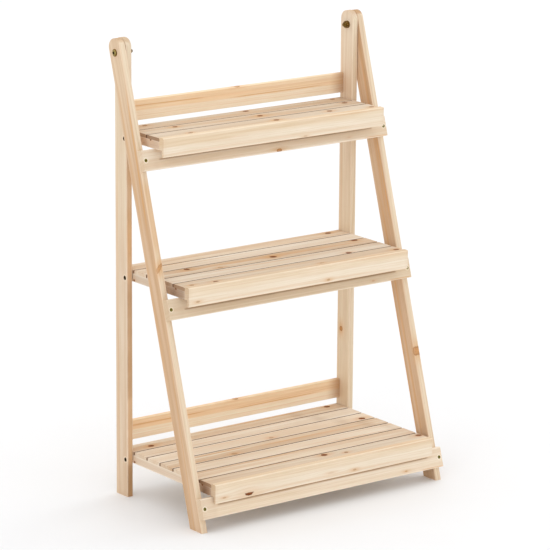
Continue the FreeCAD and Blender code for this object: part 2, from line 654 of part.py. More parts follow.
group("front_rail_screws", screws)

# pins up through the bearers into the slats, and dowels into the aprons
BACKWARD = Rotation(Vector(1, 0, 0), -90)
for name, count, high, deep in SHELVES:
    pins, dowels = [], []
    for side, word in ((-1, "left"), (1, "right")):
        for i in range(count):
            wide = "dims.slat_wide"
            if i == count - 1:
                wide = "(%s - dims.apron_thick - %d * dims.slat_pitch)" % (deep, i)
            pins.append(solid(
                "Cylinder", "pin_%s_%s_%d" % (name, word, i), Rotation(),
                "%d * %s" % (side, BEARER_MID_X),
                "dims.rear_face - %d * dims.slat_pitch - %s / 2" % (i, wide),
                "%s + %s + dims.pin_recess" % (high, BEARER_LOW),
                Radius="dims.pin_radius",
                Height="dims.bearer_tall - dims.pin_recess + dims.pin_in_slat"))
        dowels.append(solid(
            "Cylinder", "apron_dowel_%s_%s" % (name, word), BACKWARD,
            "%d * %s" % (side, BEARER_MID_X),
            "dims.rear_face - %s + dims.apron_thick - dims.apron_dowel_in_apron" % deep,
            "%s + %s + dims.bearer_tall / 2" % (high, BEARER_LOW),
            Radius="dims.apron_dowel_radius",
            Height="dims.apron_dowel_in_apron + dims.apron_dowel_in_bearer"))
    group(name + "_slat_pins", pins)
    group(name + "_apron_dowels", dowels)

# --------------------------------------------------------------------- export
doc.recompute()
for obj in doc.Objects:
    if "Invalid" in obj.State or "Error" in obj.State:
        raise RuntimeError("failed: %s %s" % (obj.Name, obj.State))
low = Vector(1e9, 1e9, 1e9)
high = Vector(-1e9, -1e9, -1e9)
for node in NODES:
    shape = node.Shape
    if shape.isNull() or not shape.isValid():
        raise RuntimeError("bad shape: " + node.Label)
    box = shape.BoundBox
    low = Vector(min(low.x, box.XMin), min(low.y, box.YMin), min(low.z, box.ZMin))
    high = Vector(max(high.x, box.XMax), max(high.y, box.YMax), max(high.z, box.ZMax))
if not os.path.isdir("parts"):
    os.makedirs("parts")
for node in NODES:
    node.Shape.exportStep("parts/%s.step" % node.Label)
    print("%-24s solids %2d  volume %10.1f" % (node.Label, len(node.Shape.Solids), node.Shape.Volume))
print("nodes", len(NODES))
print("low", tuple(round(c, 3) for c in low), "high", tuple(round(c, 3) for c in high))
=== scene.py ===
import json
import math
import random

import bmesh
import bpy
from mathutils import Matrix, Vector

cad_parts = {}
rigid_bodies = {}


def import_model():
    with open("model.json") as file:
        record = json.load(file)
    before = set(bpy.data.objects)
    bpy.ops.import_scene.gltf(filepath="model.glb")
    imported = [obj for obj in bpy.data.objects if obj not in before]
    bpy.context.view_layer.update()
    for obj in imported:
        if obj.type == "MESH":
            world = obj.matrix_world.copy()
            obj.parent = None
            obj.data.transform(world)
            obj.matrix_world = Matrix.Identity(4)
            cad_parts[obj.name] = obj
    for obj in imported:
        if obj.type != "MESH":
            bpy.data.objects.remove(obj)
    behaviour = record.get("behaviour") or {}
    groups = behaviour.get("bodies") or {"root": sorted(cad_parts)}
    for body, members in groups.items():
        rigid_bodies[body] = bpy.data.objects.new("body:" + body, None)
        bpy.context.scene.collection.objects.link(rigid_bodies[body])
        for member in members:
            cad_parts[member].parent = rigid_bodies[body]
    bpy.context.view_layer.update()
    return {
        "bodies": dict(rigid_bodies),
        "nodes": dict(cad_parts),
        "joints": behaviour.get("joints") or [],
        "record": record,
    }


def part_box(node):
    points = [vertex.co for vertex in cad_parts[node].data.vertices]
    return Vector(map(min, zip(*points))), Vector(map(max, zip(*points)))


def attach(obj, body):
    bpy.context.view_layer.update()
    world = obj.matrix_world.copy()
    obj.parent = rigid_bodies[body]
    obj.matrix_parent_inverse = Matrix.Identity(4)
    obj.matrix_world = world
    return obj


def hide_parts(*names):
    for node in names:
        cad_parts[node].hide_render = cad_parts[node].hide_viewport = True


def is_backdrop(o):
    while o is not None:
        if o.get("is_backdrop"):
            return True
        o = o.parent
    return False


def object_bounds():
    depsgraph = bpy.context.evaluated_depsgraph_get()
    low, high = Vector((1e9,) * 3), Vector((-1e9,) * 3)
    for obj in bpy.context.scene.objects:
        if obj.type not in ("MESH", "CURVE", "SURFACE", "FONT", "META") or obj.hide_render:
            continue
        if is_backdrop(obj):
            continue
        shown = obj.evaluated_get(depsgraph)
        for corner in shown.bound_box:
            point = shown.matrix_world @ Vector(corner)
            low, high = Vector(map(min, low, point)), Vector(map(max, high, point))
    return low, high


# Looks for the three-tier folding plant stand: pale softwood boards with knots
# and resin streaks, antique brass hardware. Metres, row frame: X along the
# shelves, +Y to the back, +Z up.

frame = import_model()
nodes = frame["nodes"]
scene = bpy.context.scene

LEAN = math.radians(16.77)
PIVOT_Y, PIVOT_Z = 0.13723, 0.9
X, Y, Z = Vector((1, 0, 0)), Vector((0, 1, 0)), Vector((0, 0, 1))
LEG_UP = Vector((0, math.sin(LEAN), math.cos(LEAN)))      # along a leaning leg
LEG_BACK = Vector((0, math.cos(LEAN), -math.sin(LEAN)))   # across it, to the rear


def srgb(r, g, b):
    """Linear colour from 0..255 values."""
    out = []
    for c in (r, g, b):
        c /= 255.0
        out.append(c / 12.92 if c <= 0.04045 else ((c + 0.055) / 1.055) ** 2.4)
    return (*out, 1.0)


# --------------------------------------------------------------- node helpers
class Net:
    """Short words for building a node tree."""

    def __init__(self, tree):
        self.tree = tree

    def new(self, kind, **props):
        n = self.tree.nodes.new(kind)
        for k, v in props.items():
            setattr(n, k, v)
        return n

    def put(self, socket, value):
        if isinstance(value, bpy.types.NodeSocket):
            self.tree.links.new(value, socket)
        elif value is not None:
            if isinstance(value, Vector):
                value = tuple(value)
            socket.default_value = value

    def math(self, op, a, b=None, c=None, clamp=False):
        n = self.new("ShaderNodeMath", operation=op, use_clamp=clamp)
        for i, v in enumerate((a, b, c)):
            if v is not None:
                self.put(n.inputs[i], v)
        return n.outputs[0]

    def vec(self, op, a, b=None, scale=None):
        n = self.new("ShaderNodeVectorMath", operation=op)
        self.put(n.inputs[0], a)
        if b is not None:
            self.put(n.inputs[1], b)
        if scale is not None:
            self.put(n.inputs["Scale"], scale)
        return n.outputs["Value"] if op in ("DOT_PRODUCT", "LENGTH", "DISTANCE") else n.outputs["Vector"]

    def join(self, x, y, z):
        n = self.new("ShaderNodeCombineXYZ")
        for i, v in enumerate((x, y, z)):
            self.put(n.inputs[i], v)
        return n.outputs[0]

    def split(self, v):
        n = self.new("ShaderNodeSeparateXYZ")
        self.put(n.inputs[0], v)
        return n.outputs

    def noise(self, vector, scale, detail=2.0, rough=0.5, distort=0.0, dims="3D", color=False):
        n = self.new("ShaderNodeTexNoise", noise_dimensions=dims)
        if dims == "1D":
            self.put(n.inputs["W"], vector)
        else:
            self.put(n.inputs["Vector"], vector)
        self.put(n.inputs["Scale"], scale)
        self.put(n.inputs["Detail"], detail)
        self.put(n.inputs["Roughness"], rough)
        self.put(n.inputs["Distortion"], distort)
        return n.outputs["Color"] if color else n.outputs["Fac"]

    def span(self, value, a, b, c=0.0, d=1.0, smooth=False):
        """Maps a..b to c..d, clamped."""
        n = self.new("ShaderNodeMapRange", clamp=True,
                     interpolation_type="SMOOTHSTEP" if smooth else "LINEAR")
        for i, v in enumerate((value, a, b, c, d)):
            self.put(n.inputs[i], v)
        return n.outputs[0]

    def mix(self, factor, a, b, blend="MIX"):
        n = self.new("ShaderNodeMix", data_type="RGBA", blend_type=blend, clamp_factor=True)
        self.put(n.inputs[0], factor)
        self.put(n.inputs[6], a)
        self.put(n.inputs[7], b)
        return n.outputs[2]

    def ramp(self, value, stops, smooth=False):
        n = self.new("ShaderNodeValToRGB")
        n.color_ramp.interpolation = "EASE" if smooth else "LINEAR"
        e = n.color_ramp.elements
        while len(e) < len(stops):
            e.new(0.5)
        for item, (at, value_at) in zip(e, stops):
            item.position = at
            item.color = value_at if isinstance(value_at, tuple) else (value_at,) * 3 + (1.0,)
        self.put(n.inputs[0], value)
        return n.outputs[0]


def group(name, inputs, outputs):
    """An empty node group; inputs and outputs are (name, kind, default)."""
    tree = bpy.data.node_groups.new(name, "ShaderNodeTree")
    for label, kind, default in inputs:
        s = tree.interface.new_socket(label, in_out="INPUT", socket_type=kind)
        if default is not None:
            s.default_value = default
    for label, kind in outputs:
        tree.interface.new_socket(label, in_out="OUTPUT", socket_type=kind)
    net = Net(tree)
    return net, net.new("NodeGroupInput").outputs, net.new("NodeGroupOutput").inputs


FLOAT, VECTOR, COLOR = "NodeSocketFloat", "NodeSocketVector", "NodeSocketColor"


# ------------------------------------------------------------------ the knots
def make_knot_group():
    """A branch that runs through the board along W. Place is untouched; Warp is
    the place that the rings are read at, pushed aside by the knots."""
    n, i, o = group(
        "knot",
        [("Place", VECTOR, None), ("Warp", VECTOR, None), ("Core", FLOAT, 0.0), ("Rim", FLOAT, 0.0),
         ("Halo", FLOAT, 0.0), ("At", VECTOR, None), ("Size", FLOAT, 0.004), ("Long", FLOAT, 1.5),
         ("Tone", FLOAT, 1.0), ("Glow", FLOAT, 1.0), ("Tilt", FLOAT, 0.0), ("Cut", FLOAT, 9.0)],
        [("Warp", VECTOR), ("Core", FLOAT), ("Rim", FLOAT), ("Halo", FLOAT)])
    p = n.split(n.vec("SUBTRACT", i["Place"], i["At"]))
    lean = n.math("MULTIPLY", p[2], i["Tilt"])
    ragged = n.noise(i["Place"], 320.0, 2.0, color=True)
    rag = n.split(n.vec("SUBTRACT", ragged, (0.5, 0.5, 0.5)))
    u = n.math("DIVIDE", n.math("DIVIDE", n.math("ADD", p[0], lean), i["Size"]), i["Long"])
    u = n.math("ADD", u, n.math("MULTIPLY", rag[0], 0.5))
    v = n.math("DIVIDE", n.math("ADD", p[1], n.math("MULTIPLY", lean, 0.35)), i["Size"])
    v = n.math("ADD", v, n.math("MULTIPLY", rag[1], 0.5))
    d = n.vec("LENGTH", n.join(u, v, 0.0))
    kept = n.math("MULTIPLY", n.span(v, n.math("ADD", i["Cut"], 0.12), n.math("SUBTRACT", i["Cut"], 0.12)), i["Tone"])
    core = n.math("MULTIPLY", n.span(d, 1.15, 0.70, smooth=True), kept)
    rim = n.math("MULTIPLY", n.span(n.math("ABSOLUTE", n.math("SUBTRACT", d, 0.80)), 0.30, 0.04, smooth=True), kept)
    wide = n.vec("LENGTH", n.join(n.math("MULTIPLY", u, 0.62), v, 0.0))
    halo = n.math("MULTIPLY", n.math("EXPONENT", n.math("MULTIPLY", n.math("MULTIPLY", wide, wide), -0.30)), i["Glow"])
    near = n.math("EXPONENT", n.math("MULTIPLY", n.math("MULTIPLY", wide, wide), -0.16))
    warp = n.split(i["Warp"])
    push = n.math("MULTIPLY", n.math("MULTIPLY", p[1], near), -0.85)
    n.put(o["Warp"], n.join(warp[0], n.math("ADD", warp[1], push), warp[2]))
    n.put(o["Core"], n.math("MAXIMUM", core, i["Core"]))
    n.put(o["Rim"], n.math("MAXIMUM", rim, i["Rim"]))
    n.put(o["Halo"], n.math("MAXIMUM", halo, i["Halo"]))
    return n.tree


def make_streak_group():
    """A soft band across V that wanders and dies out along U: a resin streak, or a band of painted shade."""
    n, i, o = group(
        "streak",
        [("Warp", VECTOR, None), ("Band amount", FLOAT, 0.0), ("At", FLOAT, 0.0), ("Wide", FLOAT, 0.003),
         ("Slope", FLOAT, 0.0), ("From", FLOAT, -1.0), ("To", FLOAT, 1.0), ("Fade", FLOAT, 0.06),
         ("Strength", FLOAT, 1.0)],
        [("Band amount", FLOAT)])
    p = n.split(i["Warp"])
    centre = n.math("ADD", i["At"], n.math("MULTIPLY", p[0], i["Slope"]))
    off = n.math("DIVIDE", n.math("SUBTRACT", p[1], centre), i["Wide"])
    rough = n.noise(n.join(n.math("MULTIPLY", p[0], 9.0), n.math("MULTIPLY", p[1], 260.0), 0.0), 1.0, 3.0)
    off = n.math("ADD", off, n.math("MULTIPLY", n.math("SUBTRACT", rough, 0.5), 1.6))
    band = n.math("EXPONENT", n.math("MULTIPLY", n.math("MULTIPLY", off, off), -1.0))
    a = n.span(p[0], n.math("SUBTRACT", i["From"], i["Fade"]), n.math("ADD", i["From"], i["Fade"]), smooth=True)
    b = n.span(p[0], n.math("ADD", i["To"], i["Fade"]), n.math("SUBTRACT", i["To"], i["Fade"]), smooth=True)
    here = n.math("MULTIPLY", n.math("MULTIPLY", a, b), n.math("MULTIPLY", band, i["Strength"]))
    n.put(o["Band amount"], n.math("MAXIMUM", here, i["Band amount"]))
    return n.tree


def make_pine_group():
    """Growth rings, broad bands, fibres and pores of a sawn board."""
    n, i, o = group(
        "pine",
        [("Place", VECTOR, None), ("Warp", VECTOR, None), ("Normal", VECTOR, None), ("Seed", VECTOR, None),
         ("Pith", VECTOR, None), ("Spacing", FLOAT, 0.003), ("Half", VECTOR, None),
         ("Pale", COLOR, None), ("Deep", COLOR, None), ("Late", COLOR, None), ("Resin", COLOR, None),
         ("Rings", FLOAT, 0.5), ("Bands", FLOAT, 0.5), ("Band amount", FLOAT, 0.0), ("Core", FLOAT, 0.0),
         ("Rim", FLOAT, 0.0), ("Halo", FLOAT, 0.0), ("Knot", COLOR, None), ("Wander", FLOAT, 0.012),
         ("Sap", COLOR, None), ("Sap at", FLOAT, 9.0), ("Sap soft", FLOAT, 0.002), ("Sap slope", FLOAT, 0.0),
         ("Gap shade", FLOAT, 0.0), ("Gap shade from", FLOAT, -1.0), ("Painted shade", FLOAT, 0.0), ("Worn", FLOAT, 0.0),
         ("Lift", FLOAT, 0.0)],
        [("Color", COLOR), ("Rough", FLOAT), ("Height", FLOAT)])
    seeded = n.vec("ADD", i["Warp"], i["Seed"])
    # the trunk wanders slowly along the board
    slow = n.noise(n.vec("MULTIPLY", seeded, (2.3, 7.0, 7.0)), 1.0, 2.0, 0.5, color=True)
    slow = n.split(n.vec("SUBTRACT", slow, (0.5, 0.5, 0.5)))
    fine = n.noise(n.vec("MULTIPLY", seeded, (9.0, 60.0, 60.0)), 1.0, 2.0, 0.5)
    fine = n.math("MULTIPLY", n.math("SUBTRACT", fine, 0.5), 0.0022)
    q = n.split(n.vec("SUBTRACT", i["Warp"], i["Pith"]))
    v = n.math("ADD", n.math("ADD", q[1], n.math("MULTIPLY", slow[0], i["Wander"])), fine)
    w = n.math("ADD", n.math("ADD", q[2], n.math("MULTIPLY", slow[1], i["Wander"])), fine)
    radius = n.vec("LENGTH", n.join(v, w, 0.0))
    uneven = n.noise(n.math("MULTIPLY", radius, 110.0), 1.0, 1.0, dims="1D")
    phase = n.math("ADD", n.math("DIVIDE", radius, i["Spacing"]), n.math("MULTIPLY", uneven, 1.7))
    ring = n.math("FRACT", phase)
    late = n.ramp(ring, [(0.0, 0.12), (0.10, 0.0), (0.45, 0.10), (0.74, 0.42), (0.90, 1.0), (0.965, 0.85), (1.0, 0.12)])
    each = n.noise(n.math("MULTIPLY", n.math("FLOOR", phase), 3.71), 1.0, 0.0, dims="1D")
    late = n.math("MULTIPLY", late, n.span(each, 0.25, 0.75, 0.35, 1.0))
    # broad soft bands of heart- and sapwood
    broad = n.noise(n.join(n.math("MULTIPLY", radius, 62.0), n.math("MULTIPLY", n.split(seeded)[0], 1.6),
                           n.math("MULTIPLY", n.split(i["Seed"])[1], 3.0)), 1.0, 2.0, 0.55)
    broad = n.span(broad, 0.30, 0.70, smooth=True)
    middle = n.noise(n.join(n.math("MULTIPLY", radius, 210.0), n.math("MULTIPLY", n.split(seeded)[0], 2.6),
                            n.math("MULTIPLY", n.split(i["Seed"])[2], 3.0)), 1.0, 2.0, 0.6)
    middle = n.span(middle, 0.30, 0.72, smooth=True)
    cloud = n.noise(n.vec("MULTIPLY", seeded, (5.0, 22.0, 22.0)), 1.0, 3.0, 0.5)
    # fibres
    s = n.split(seeded)
    fibre_at = n.join(n.math("MULTIPLY", s[0], 22.0), n.math("MULTIPLY", s[1], 900.0), n.math("MULTIPLY", s[2], 900.0))
    fibre = n.noise(fibre_at, 1.0, 3.0, 0.65)
    pore_at = n.join(n.math("MULTIPLY", s[0], 130.0), n.math("MULTIPLY", s[1], 1500.0), n.math("MULTIPLY", s[2], 1500.0))
    pore = n.new("ShaderNodeTexVoronoi", feature="F1", distance="EUCLIDEAN")
    n.put(pore.inputs["Vector"], pore_at)
    n.put(pore.inputs["Scale"], 0.42)
    pores = n.math("MULTIPLY", n.span(pore.outputs["Distance"], 0.22, 0.06, smooth=True), n.span(late, 0.1, 0.7, 0.25, 1.0))
    # end grain
    side = n.math("ABSOLUTE", n.split(i["Normal"])[0])
    end = n.span(side, 0.45, 0.85, smooth=True)
    # distance to the nearest long edge of the board
    h = n.split(i["Half"])
    p = n.split(i["Place"])
    ev = n.math("MAXIMUM", n.math("SUBTRACT", h[1], n.math("ABSOLUTE", p[1])), 0.0)
    ew = n.math("MAXIMUM", n.math("SUBTRACT", h[2], n.math("ABSOLUTE", p[2])), 0.0)
    eu = n.math("MAXIMUM", n.math("SUBTRACT", h[0], n.math("ABSOLUTE", p[0])), 0.0)
    edge_wear_and_highlight = n.span(n.vec("LENGTH", n.join(ev, ew, 0.0)), 0.0028, 0.0012, smooth=True)
    worn = n.noise(n.vec("MULTIPLY", seeded, (40.0, 160.0, 160.0)), 1.0, 2.0)
    edge_wear_and_highlight = n.math("MULTIPLY", edge_wear_and_highlight, n.span(worn, 0.3, 0.7, 0.55, 1.0))
    tip = n.span(eu, 0.012, 0.0, smooth=True)
    # colour
    c = n.mix(n.math("MULTIPLY", broad, i["Bands"]), i["Pale"], i["Deep"])
    c = n.mix(n.math("MULTIPLY", n.span(cloud, 0.35, 0.75), 0.30), c, i["Deep"])
    wave = n.noise(n.vec("MULTIPLY", seeded, (6.0, 30.0, 30.0)), 1.0, 2.0)
    sap_line = n.math("ADD", i["Sap at"], n.math("MULTIPLY", n.split(i["Place"])[0], i["Sap slope"]))
    sap_line = n.math("ADD", sap_line, n.math("MULTIPLY", n.math("SUBTRACT", wave, 0.5), n.math("MULTIPLY", i["Sap soft"], 3.0)))
    sap = n.span(n.math("DIVIDE", n.math("SUBTRACT", sap_line, n.split(i["Warp"])[1]), i["Sap soft"]), -1.0, 1.0, smooth=True)
    c = n.mix(n.math("MAXIMUM", n.math("MULTIPLY", sap, 0.9), i["Lift"]), c, i["Sap"])
    c = n.mix(n.math("MULTIPLY", middle, n.math("MULTIPLY", i["Bands"], 0.34)), c, i["Late"])
    c = n.mix(n.math("MULTIPLY", late, i["Rings"]), c, i["Late"])
    c = n.mix(n.math("MULTIPLY", i["Band amount"], n.span(fibre, 0.2, 0.7, 0.75, 1.0)), c, i["Resin"])
    c = n.mix(n.math("MULTIPLY", i["Halo"], 0.50), c, i["Resin"])
    shade = n.span(fibre, 0.25, 0.75, 0.93, 1.05)
    c = n.mix(1.0, c, n.join(shade, shade, n.math("MULTIPLY", shade, shade)), "MULTIPLY")
    c = n.mix(n.math("MULTIPLY", pores, 0.16), c, srgb(150, 104, 66))
    c = n.mix(n.math("MULTIPLY", end, 0.38), c, n.mix(1.0, i["Deep"], (0.80, 0.74, 0.66, 1.0), "MULTIPLY"))
    c = n.mix(n.math("MULTIPLY", n.math("MULTIPLY", end, late), 0.35), c, i["Late"])
    # long edges painted lighter: partly worn edges, partly a painted highlight along the eased edges
    c = n.mix(n.math("MULTIPLY", edge_wear_and_highlight, 0.60), c, n.mix(1.0, i["Pale"], (1.10, 1.11, 1.12, 1.0), "MULTIPLY"))
    c = n.mix(n.math("MULTIPLY", tip, 0.10), c, i["Late"])
    # sides that look into a gap are painted dark: painted shade in the gaps between slats
    gap_shade = n.math("MULTIPLY", n.span(ev, 0.0012, 0.0006), n.span(p[2], n.math("SUBTRACT", h[2], 0.0001), n.math("SUBTRACT", h[2], 0.0006)))
    gap_shade = n.math("MULTIPLY", gap_shade, n.math("GREATER_THAN", n.math("MULTIPLY", p[1], -1.0), i["Gap shade from"]))
    c = n.mix(n.math("MULTIPLY", gap_shade, i["Gap shade"]), c, n.mix(1.0, i["Late"], (0.30, 0.19, 0.12, 1.0), "MULTIPLY"))
    # painted shade: bands where shade falls, laid on as a darker late-wood colour
    c = n.mix(n.math("MULTIPLY", i["Painted shade"], n.span(fibre, 0.2, 0.8, 1.0, 0.8)), c,
              n.mix(1.0, i["Late"], (0.50, 0.42, 0.38, 1.0), "MULTIPLY"))
    c = n.mix(i["Worn"], c, n.mix(1.0, i["Pale"], (1.12, 1.10, 1.06, 1.0), "MULTIPLY"))
    # knot: rays and year rings of the branch, a dark bark line round it
    rays = n.noise(n.vec("MULTIPLY", i["Place"], (700.0, 700.0, 120.0)), 1.0, 2.0)
    heart = n.mix(n.span(rays, 0.35, 0.7), i["Knot"], n.mix(1.0, i["Knot"], (0.60, 0.50, 0.45, 1.0), "MULTIPLY"))
    c = n.mix(n.math("MULTIPLY", i["Core"], 0.95), c, heart)
    c = n.mix(n.math("MULTIPLY", i["Rim"], 0.62), c, n.mix(1.0, i["Knot"], (0.40, 0.30, 0.25, 1.0), "MULTIPLY"))
    c = n.vec("MINIMUM", c, (0.97, 0.97, 0.97))
    n.put(o["Color"], c)
    rough = n.math("SUBTRACT", n.span(fibre, 0.2, 0.8, 0.74, 0.90), n.math("MULTIPLY", late, 0.08))
    rough = n.math("ADD", rough, n.math("MULTIPLY", end, 0.10))
    rough = n.math("SUBTRACT", rough, n.math("MULTIPLY", i["Core"], 0.06))
    n.put(o["Rough"], rough)
    tall = n.math("ADD", n.math("MULTIPLY", late, 0.55), n.math("MULTIPLY", fibre, 0.55))
    tall = n.math("SUBTRACT", tall, n.math("MULTIPLY", pores, 0.5))
    tall = n.math("ADD", tall, n.math("MULTIPLY", i["Core"], 0.5))
    n.put(o["Height"], tall)
    return n.tree


KNOT, STREAK, PINE = make_knot_group(), make_streak_group(), make_pine_group()

# Tones, as albedo. Pale / deep are the two ends of the broad bands.
CREAM = dict(pale=srgb(246, 231, 208), deep=srgb(233, 210, 180), late=srgb(216, 180, 138))
TAN = dict(pale=srgb(232, 214, 192), deep=srgb(214, 184, 154), late=srgb(192, 152, 112))
LEAN_TAN = dict(pale=srgb(226, 196, 164), deep=srgb(206, 168, 130), late=srgb(184, 138, 96))
PINK = dict(pale=srgb(239, 224, 205), deep=srgb(222, 194, 166), late=srgb(198, 156, 119))
HONEY = dict(pale=srgb(255, 236, 208), deep=srgb(250, 214, 172), late=srgb(228, 178, 128))
PALE = dict(pale=srgb(247, 235, 220), deep=srgb(232, 210, 187), late=srgb(210, 172, 135))
SAP = srgb(238, 222, 196)
RESIN = srgb(216, 160, 98)
BROWN = srgb(142, 74, 26)
AMBER = srgb(206, 138, 66)


def board(name, along, across, half, tone, seed, pith=(0.0, 0.0, -0.045), spacing=0.0031, rings=0.45,
          bands=0.8, knots=(), streaks=(), brighten=1.0, centre=None, wander=0.012, sap=None, gap_shade_from=None,
          painted_shades=(), holes=(), knot=None, sapwood=None, lift=None, gain=(1, 1, 1)):
    """Gives a CAD board its wood. along is the grain, across the wide face's
    other direction; half is (length, width, thickness) / 2 in that order."""
    obj = nodes[name]
    mat = bpy.data.materials.new("pine_" + name)
    mat.use_nodes = True
    n = Net(mat.node_tree)
    bsdf = mat.node_tree.nodes["Principled BSDF"]
    where = n.new("ShaderNodeTexCoord")
    if centre is None:
        a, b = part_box(name)
        centre = (a + b) / 2
    thick = along.cross(across)
    rel = n.vec("SUBTRACT", where.outputs["Object"], tuple(centre))
    place = n.join(n.vec("DOT_PRODUCT", rel, tuple(along)), n.vec("DOT_PRODUCT", rel, tuple(across)),
                   n.vec("DOT_PRODUCT", rel, tuple(thick)))
    face = n.join(n.vec("DOT_PRODUCT", where.outputs["Normal"], tuple(along)), 0.0, 0.0)
    warp, core, rim, halo = place, 0.0, 0.0, 0.0
    for k in knots:
        at_u, at_v, size = k[:3]
        extra = k[3] if len(k) > 3 else {}
        g = n.new("ShaderNodeGroup")
        g.node_tree = KNOT
        n.put(g.inputs["Place"], place)
        n.put(g.inputs["Warp"], warp)
        n.put(g.inputs["Core"], core)
        n.put(g.inputs["Rim"], rim)
        n.put(g.inputs["Halo"], halo)
        g.inputs["At"].default_value = (at_u, at_v, extra.get("w", half[2]))
        g.inputs["Size"].default_value = size
        g.inputs["Long"].default_value = extra.get("long", 1.5)
        g.inputs["Tone"].default_value = extra.get("tone", 1.0)
        g.inputs["Glow"].default_value = extra.get("glow", 1.0)
        g.inputs["Tilt"].default_value = extra.get("tilt", 0.3)
        g.inputs["Cut"].default_value = extra.get("cut", 9.0)
        warp, core, rim, halo = (g.outputs[x] for x in ("Warp", "Core", "Rim", "Halo"))
    amber = 0.0
    for s in streaks:
        g = n.new("ShaderNodeGroup")
        g.node_tree = STREAK
        n.put(g.inputs["Warp"], warp)
        n.put(g.inputs["Band amount"], amber)
        for label, value in zip(("At", "Wide", "Slope", "From", "To", "Fade", "Strength"), s):
            g.inputs[label].default_value = value
        amber = g.outputs["Band amount"]
    # painted shade: bands of darkening where shade falls on the board
    painted_shade = 0.0
    for s in painted_shades:
        g = n.new("ShaderNodeGroup")
        g.node_tree = STREAK
        n.put(g.inputs["Warp"], place)
        n.put(g.inputs["Band amount"], painted_shade)
        for label, value in zip(("At", "Wide", "Slope", "From", "To", "Fade", "Strength"), s):
            g.inputs[label].default_value = value
        painted_shade = g.outputs["Band amount"]
    worn = 0.0
    for at_u, at_v, radius in holes:
        flat = n.vec("MULTIPLY", n.vec("SUBTRACT", place, (at_u, at_v, 0.0)), (1.0, 1.0, 0.0))
        ring = n.span(n.vec("LENGTH", flat), radius + 0.0030, radius + 0.0006, 0.0, 0.75, smooth=True)
        worn = n.math("MAXIMUM", ring, worn)
    paler = 0.0
    if lift:
        paler = n.span(n.split(place)[0], lift[0], lift[1], 0.0, lift[2], smooth=True)
    rnd = random.Random(seed)
    g = n.new("ShaderNodeGroup")
    g.node_tree = PINE
    n.put(g.inputs["Place"], place)
    n.put(g.inputs["Warp"], warp)
    n.put(g.inputs["Normal"], face)
    g.inputs["Seed"].default_value = (rnd.uniform(0, 9), rnd.uniform(0, 9), rnd.uniform(0, 9))
    g.inputs["Pith"].default_value = pith
    g.inputs["Spacing"].default_value = spacing
    g.inputs["Half"].default_value = half
    for label, key in (("Pale", "pale"), ("Deep", "deep"), ("Late", "late")):
        c = tone[key]
        g.inputs[label].default_value = tuple(x * brighten * y for x, y in zip(c, gain)) + (1.0,)
    g.inputs["Resin"].default_value = RESIN
    g.inputs["Wander"].default_value = wander
    g.inputs["Sap"].default_value = sapwood or SAP
    at, soft, slope = sap or (-9.0, 0.002, 0.0)
    g.inputs["Sap at"].default_value = at
    g.inputs["Sap soft"].default_value = soft
    g.inputs["Sap slope"].default_value = slope
    # the sides that face a gap get painted shade
    if gap_shade_from is not None:
        g.inputs["Gap shade"].default_value = 0.85
        g.inputs["Gap shade from"].default_value = gap_shade_from
    g.inputs["Knot"].default_value = knot or BROWN
    g.inputs["Rings"].default_value = rings
    g.inputs["Bands"].default_value = bands
    for label, value in (("Band amount", amber), ("Core", core), ("Rim", rim), ("Halo", halo),
                         ("Painted shade", painted_shade), ("Worn", worn), ("Lift", paler)):
        n.put(g.inputs[label], value)
    n.put(bsdf.inputs["Base Color"], g.outputs["Color"])
    n.put(bsdf.inputs["Roughness"], g.outputs["Rough"])
    bsdf.inputs["Specular IOR Level"].default_value = 0.03
    bump = n.new("ShaderNodeBump")
    bump.inputs["Strength"].default_value = 0.35
    bump.inputs["Distance"].default_value = 0.00022
    n.put(bump.inputs["Height"], g.outputs["Height"])
    n.put(bsdf.inputs["Normal"], bump.outputs[0])
    dress(obj, mat)
    return mat


def dress(obj, mat):
    """The material goes into every slot of the object."""
    if not obj.material_slots:
        obj.data.materials.append(mat)
    for s in obj.material_slots:
        s.link = "OBJECT"
        s.material = mat


# ---------------------------------------------------------------- the boards
MM = 0.001
REAR = 160.23            # rear face of the back legs, mm

# back frame
PEGS = [(z - 0.464, -0.012, 0.0048) for z in (0.7302, 0.4505, 0.0765)] + [(0.436, -0.003, 0.0076)]
board("back_leg_left", Z, Y, (0.464, 0.020, 0.0065), TAN, 11, pith=(0, -0.080, 0.035), rings=0.30, bands=0.7,
      lift=(0.0, 0.18, 0.60),
      streaks=[(0.012, 0.004, 0.004, -0.5, 0.20, 0.1, 0.22), (-0.011, 0.003, -0.004, 0.26, 0.44, 0.06, 0.15),
               (-0.0208, 0.0016, 0.0, -0.50, 0.30, 0.04, 0.75)],
      # the front face is painted darker below each shelf: painted shade
      painted_shades=[(-0.0212, 0.0017, 0.0, -0.55, -0.396, 0.008, 0.60), (-0.0212, 0.0017, 0.0, -0.26, -0.022, 0.008, 0.48),
              (-0.0212, 0.0017, 0.0, 0.10, 0.258, 0.02, 0.30)], holes=PEGS[:3])
board("back_leg_right", Z, Y, (0.464, 0.020, 0.0065), TAN, 12, pith=(0, 0.070, -0.040), rings=0.30, bands=0.7,
      knots=[(-0.207, 0.0065, 0.0050, dict(tone=0.75, glow=1.2, long=1.1))], sap=(-0.0185, 0.0012, 0.0), knot=AMBER,
      streaks=[(0.0152, 0.0006, 0.0, -0.5, 0.1, 0.1, 0.5), (0.010, 0.003, 0.01, 0.0, 0.40, 0.1, 0.22)],
      holes=PEGS, brighten=1.05, lift=(0.34, -0.10, 0.78))
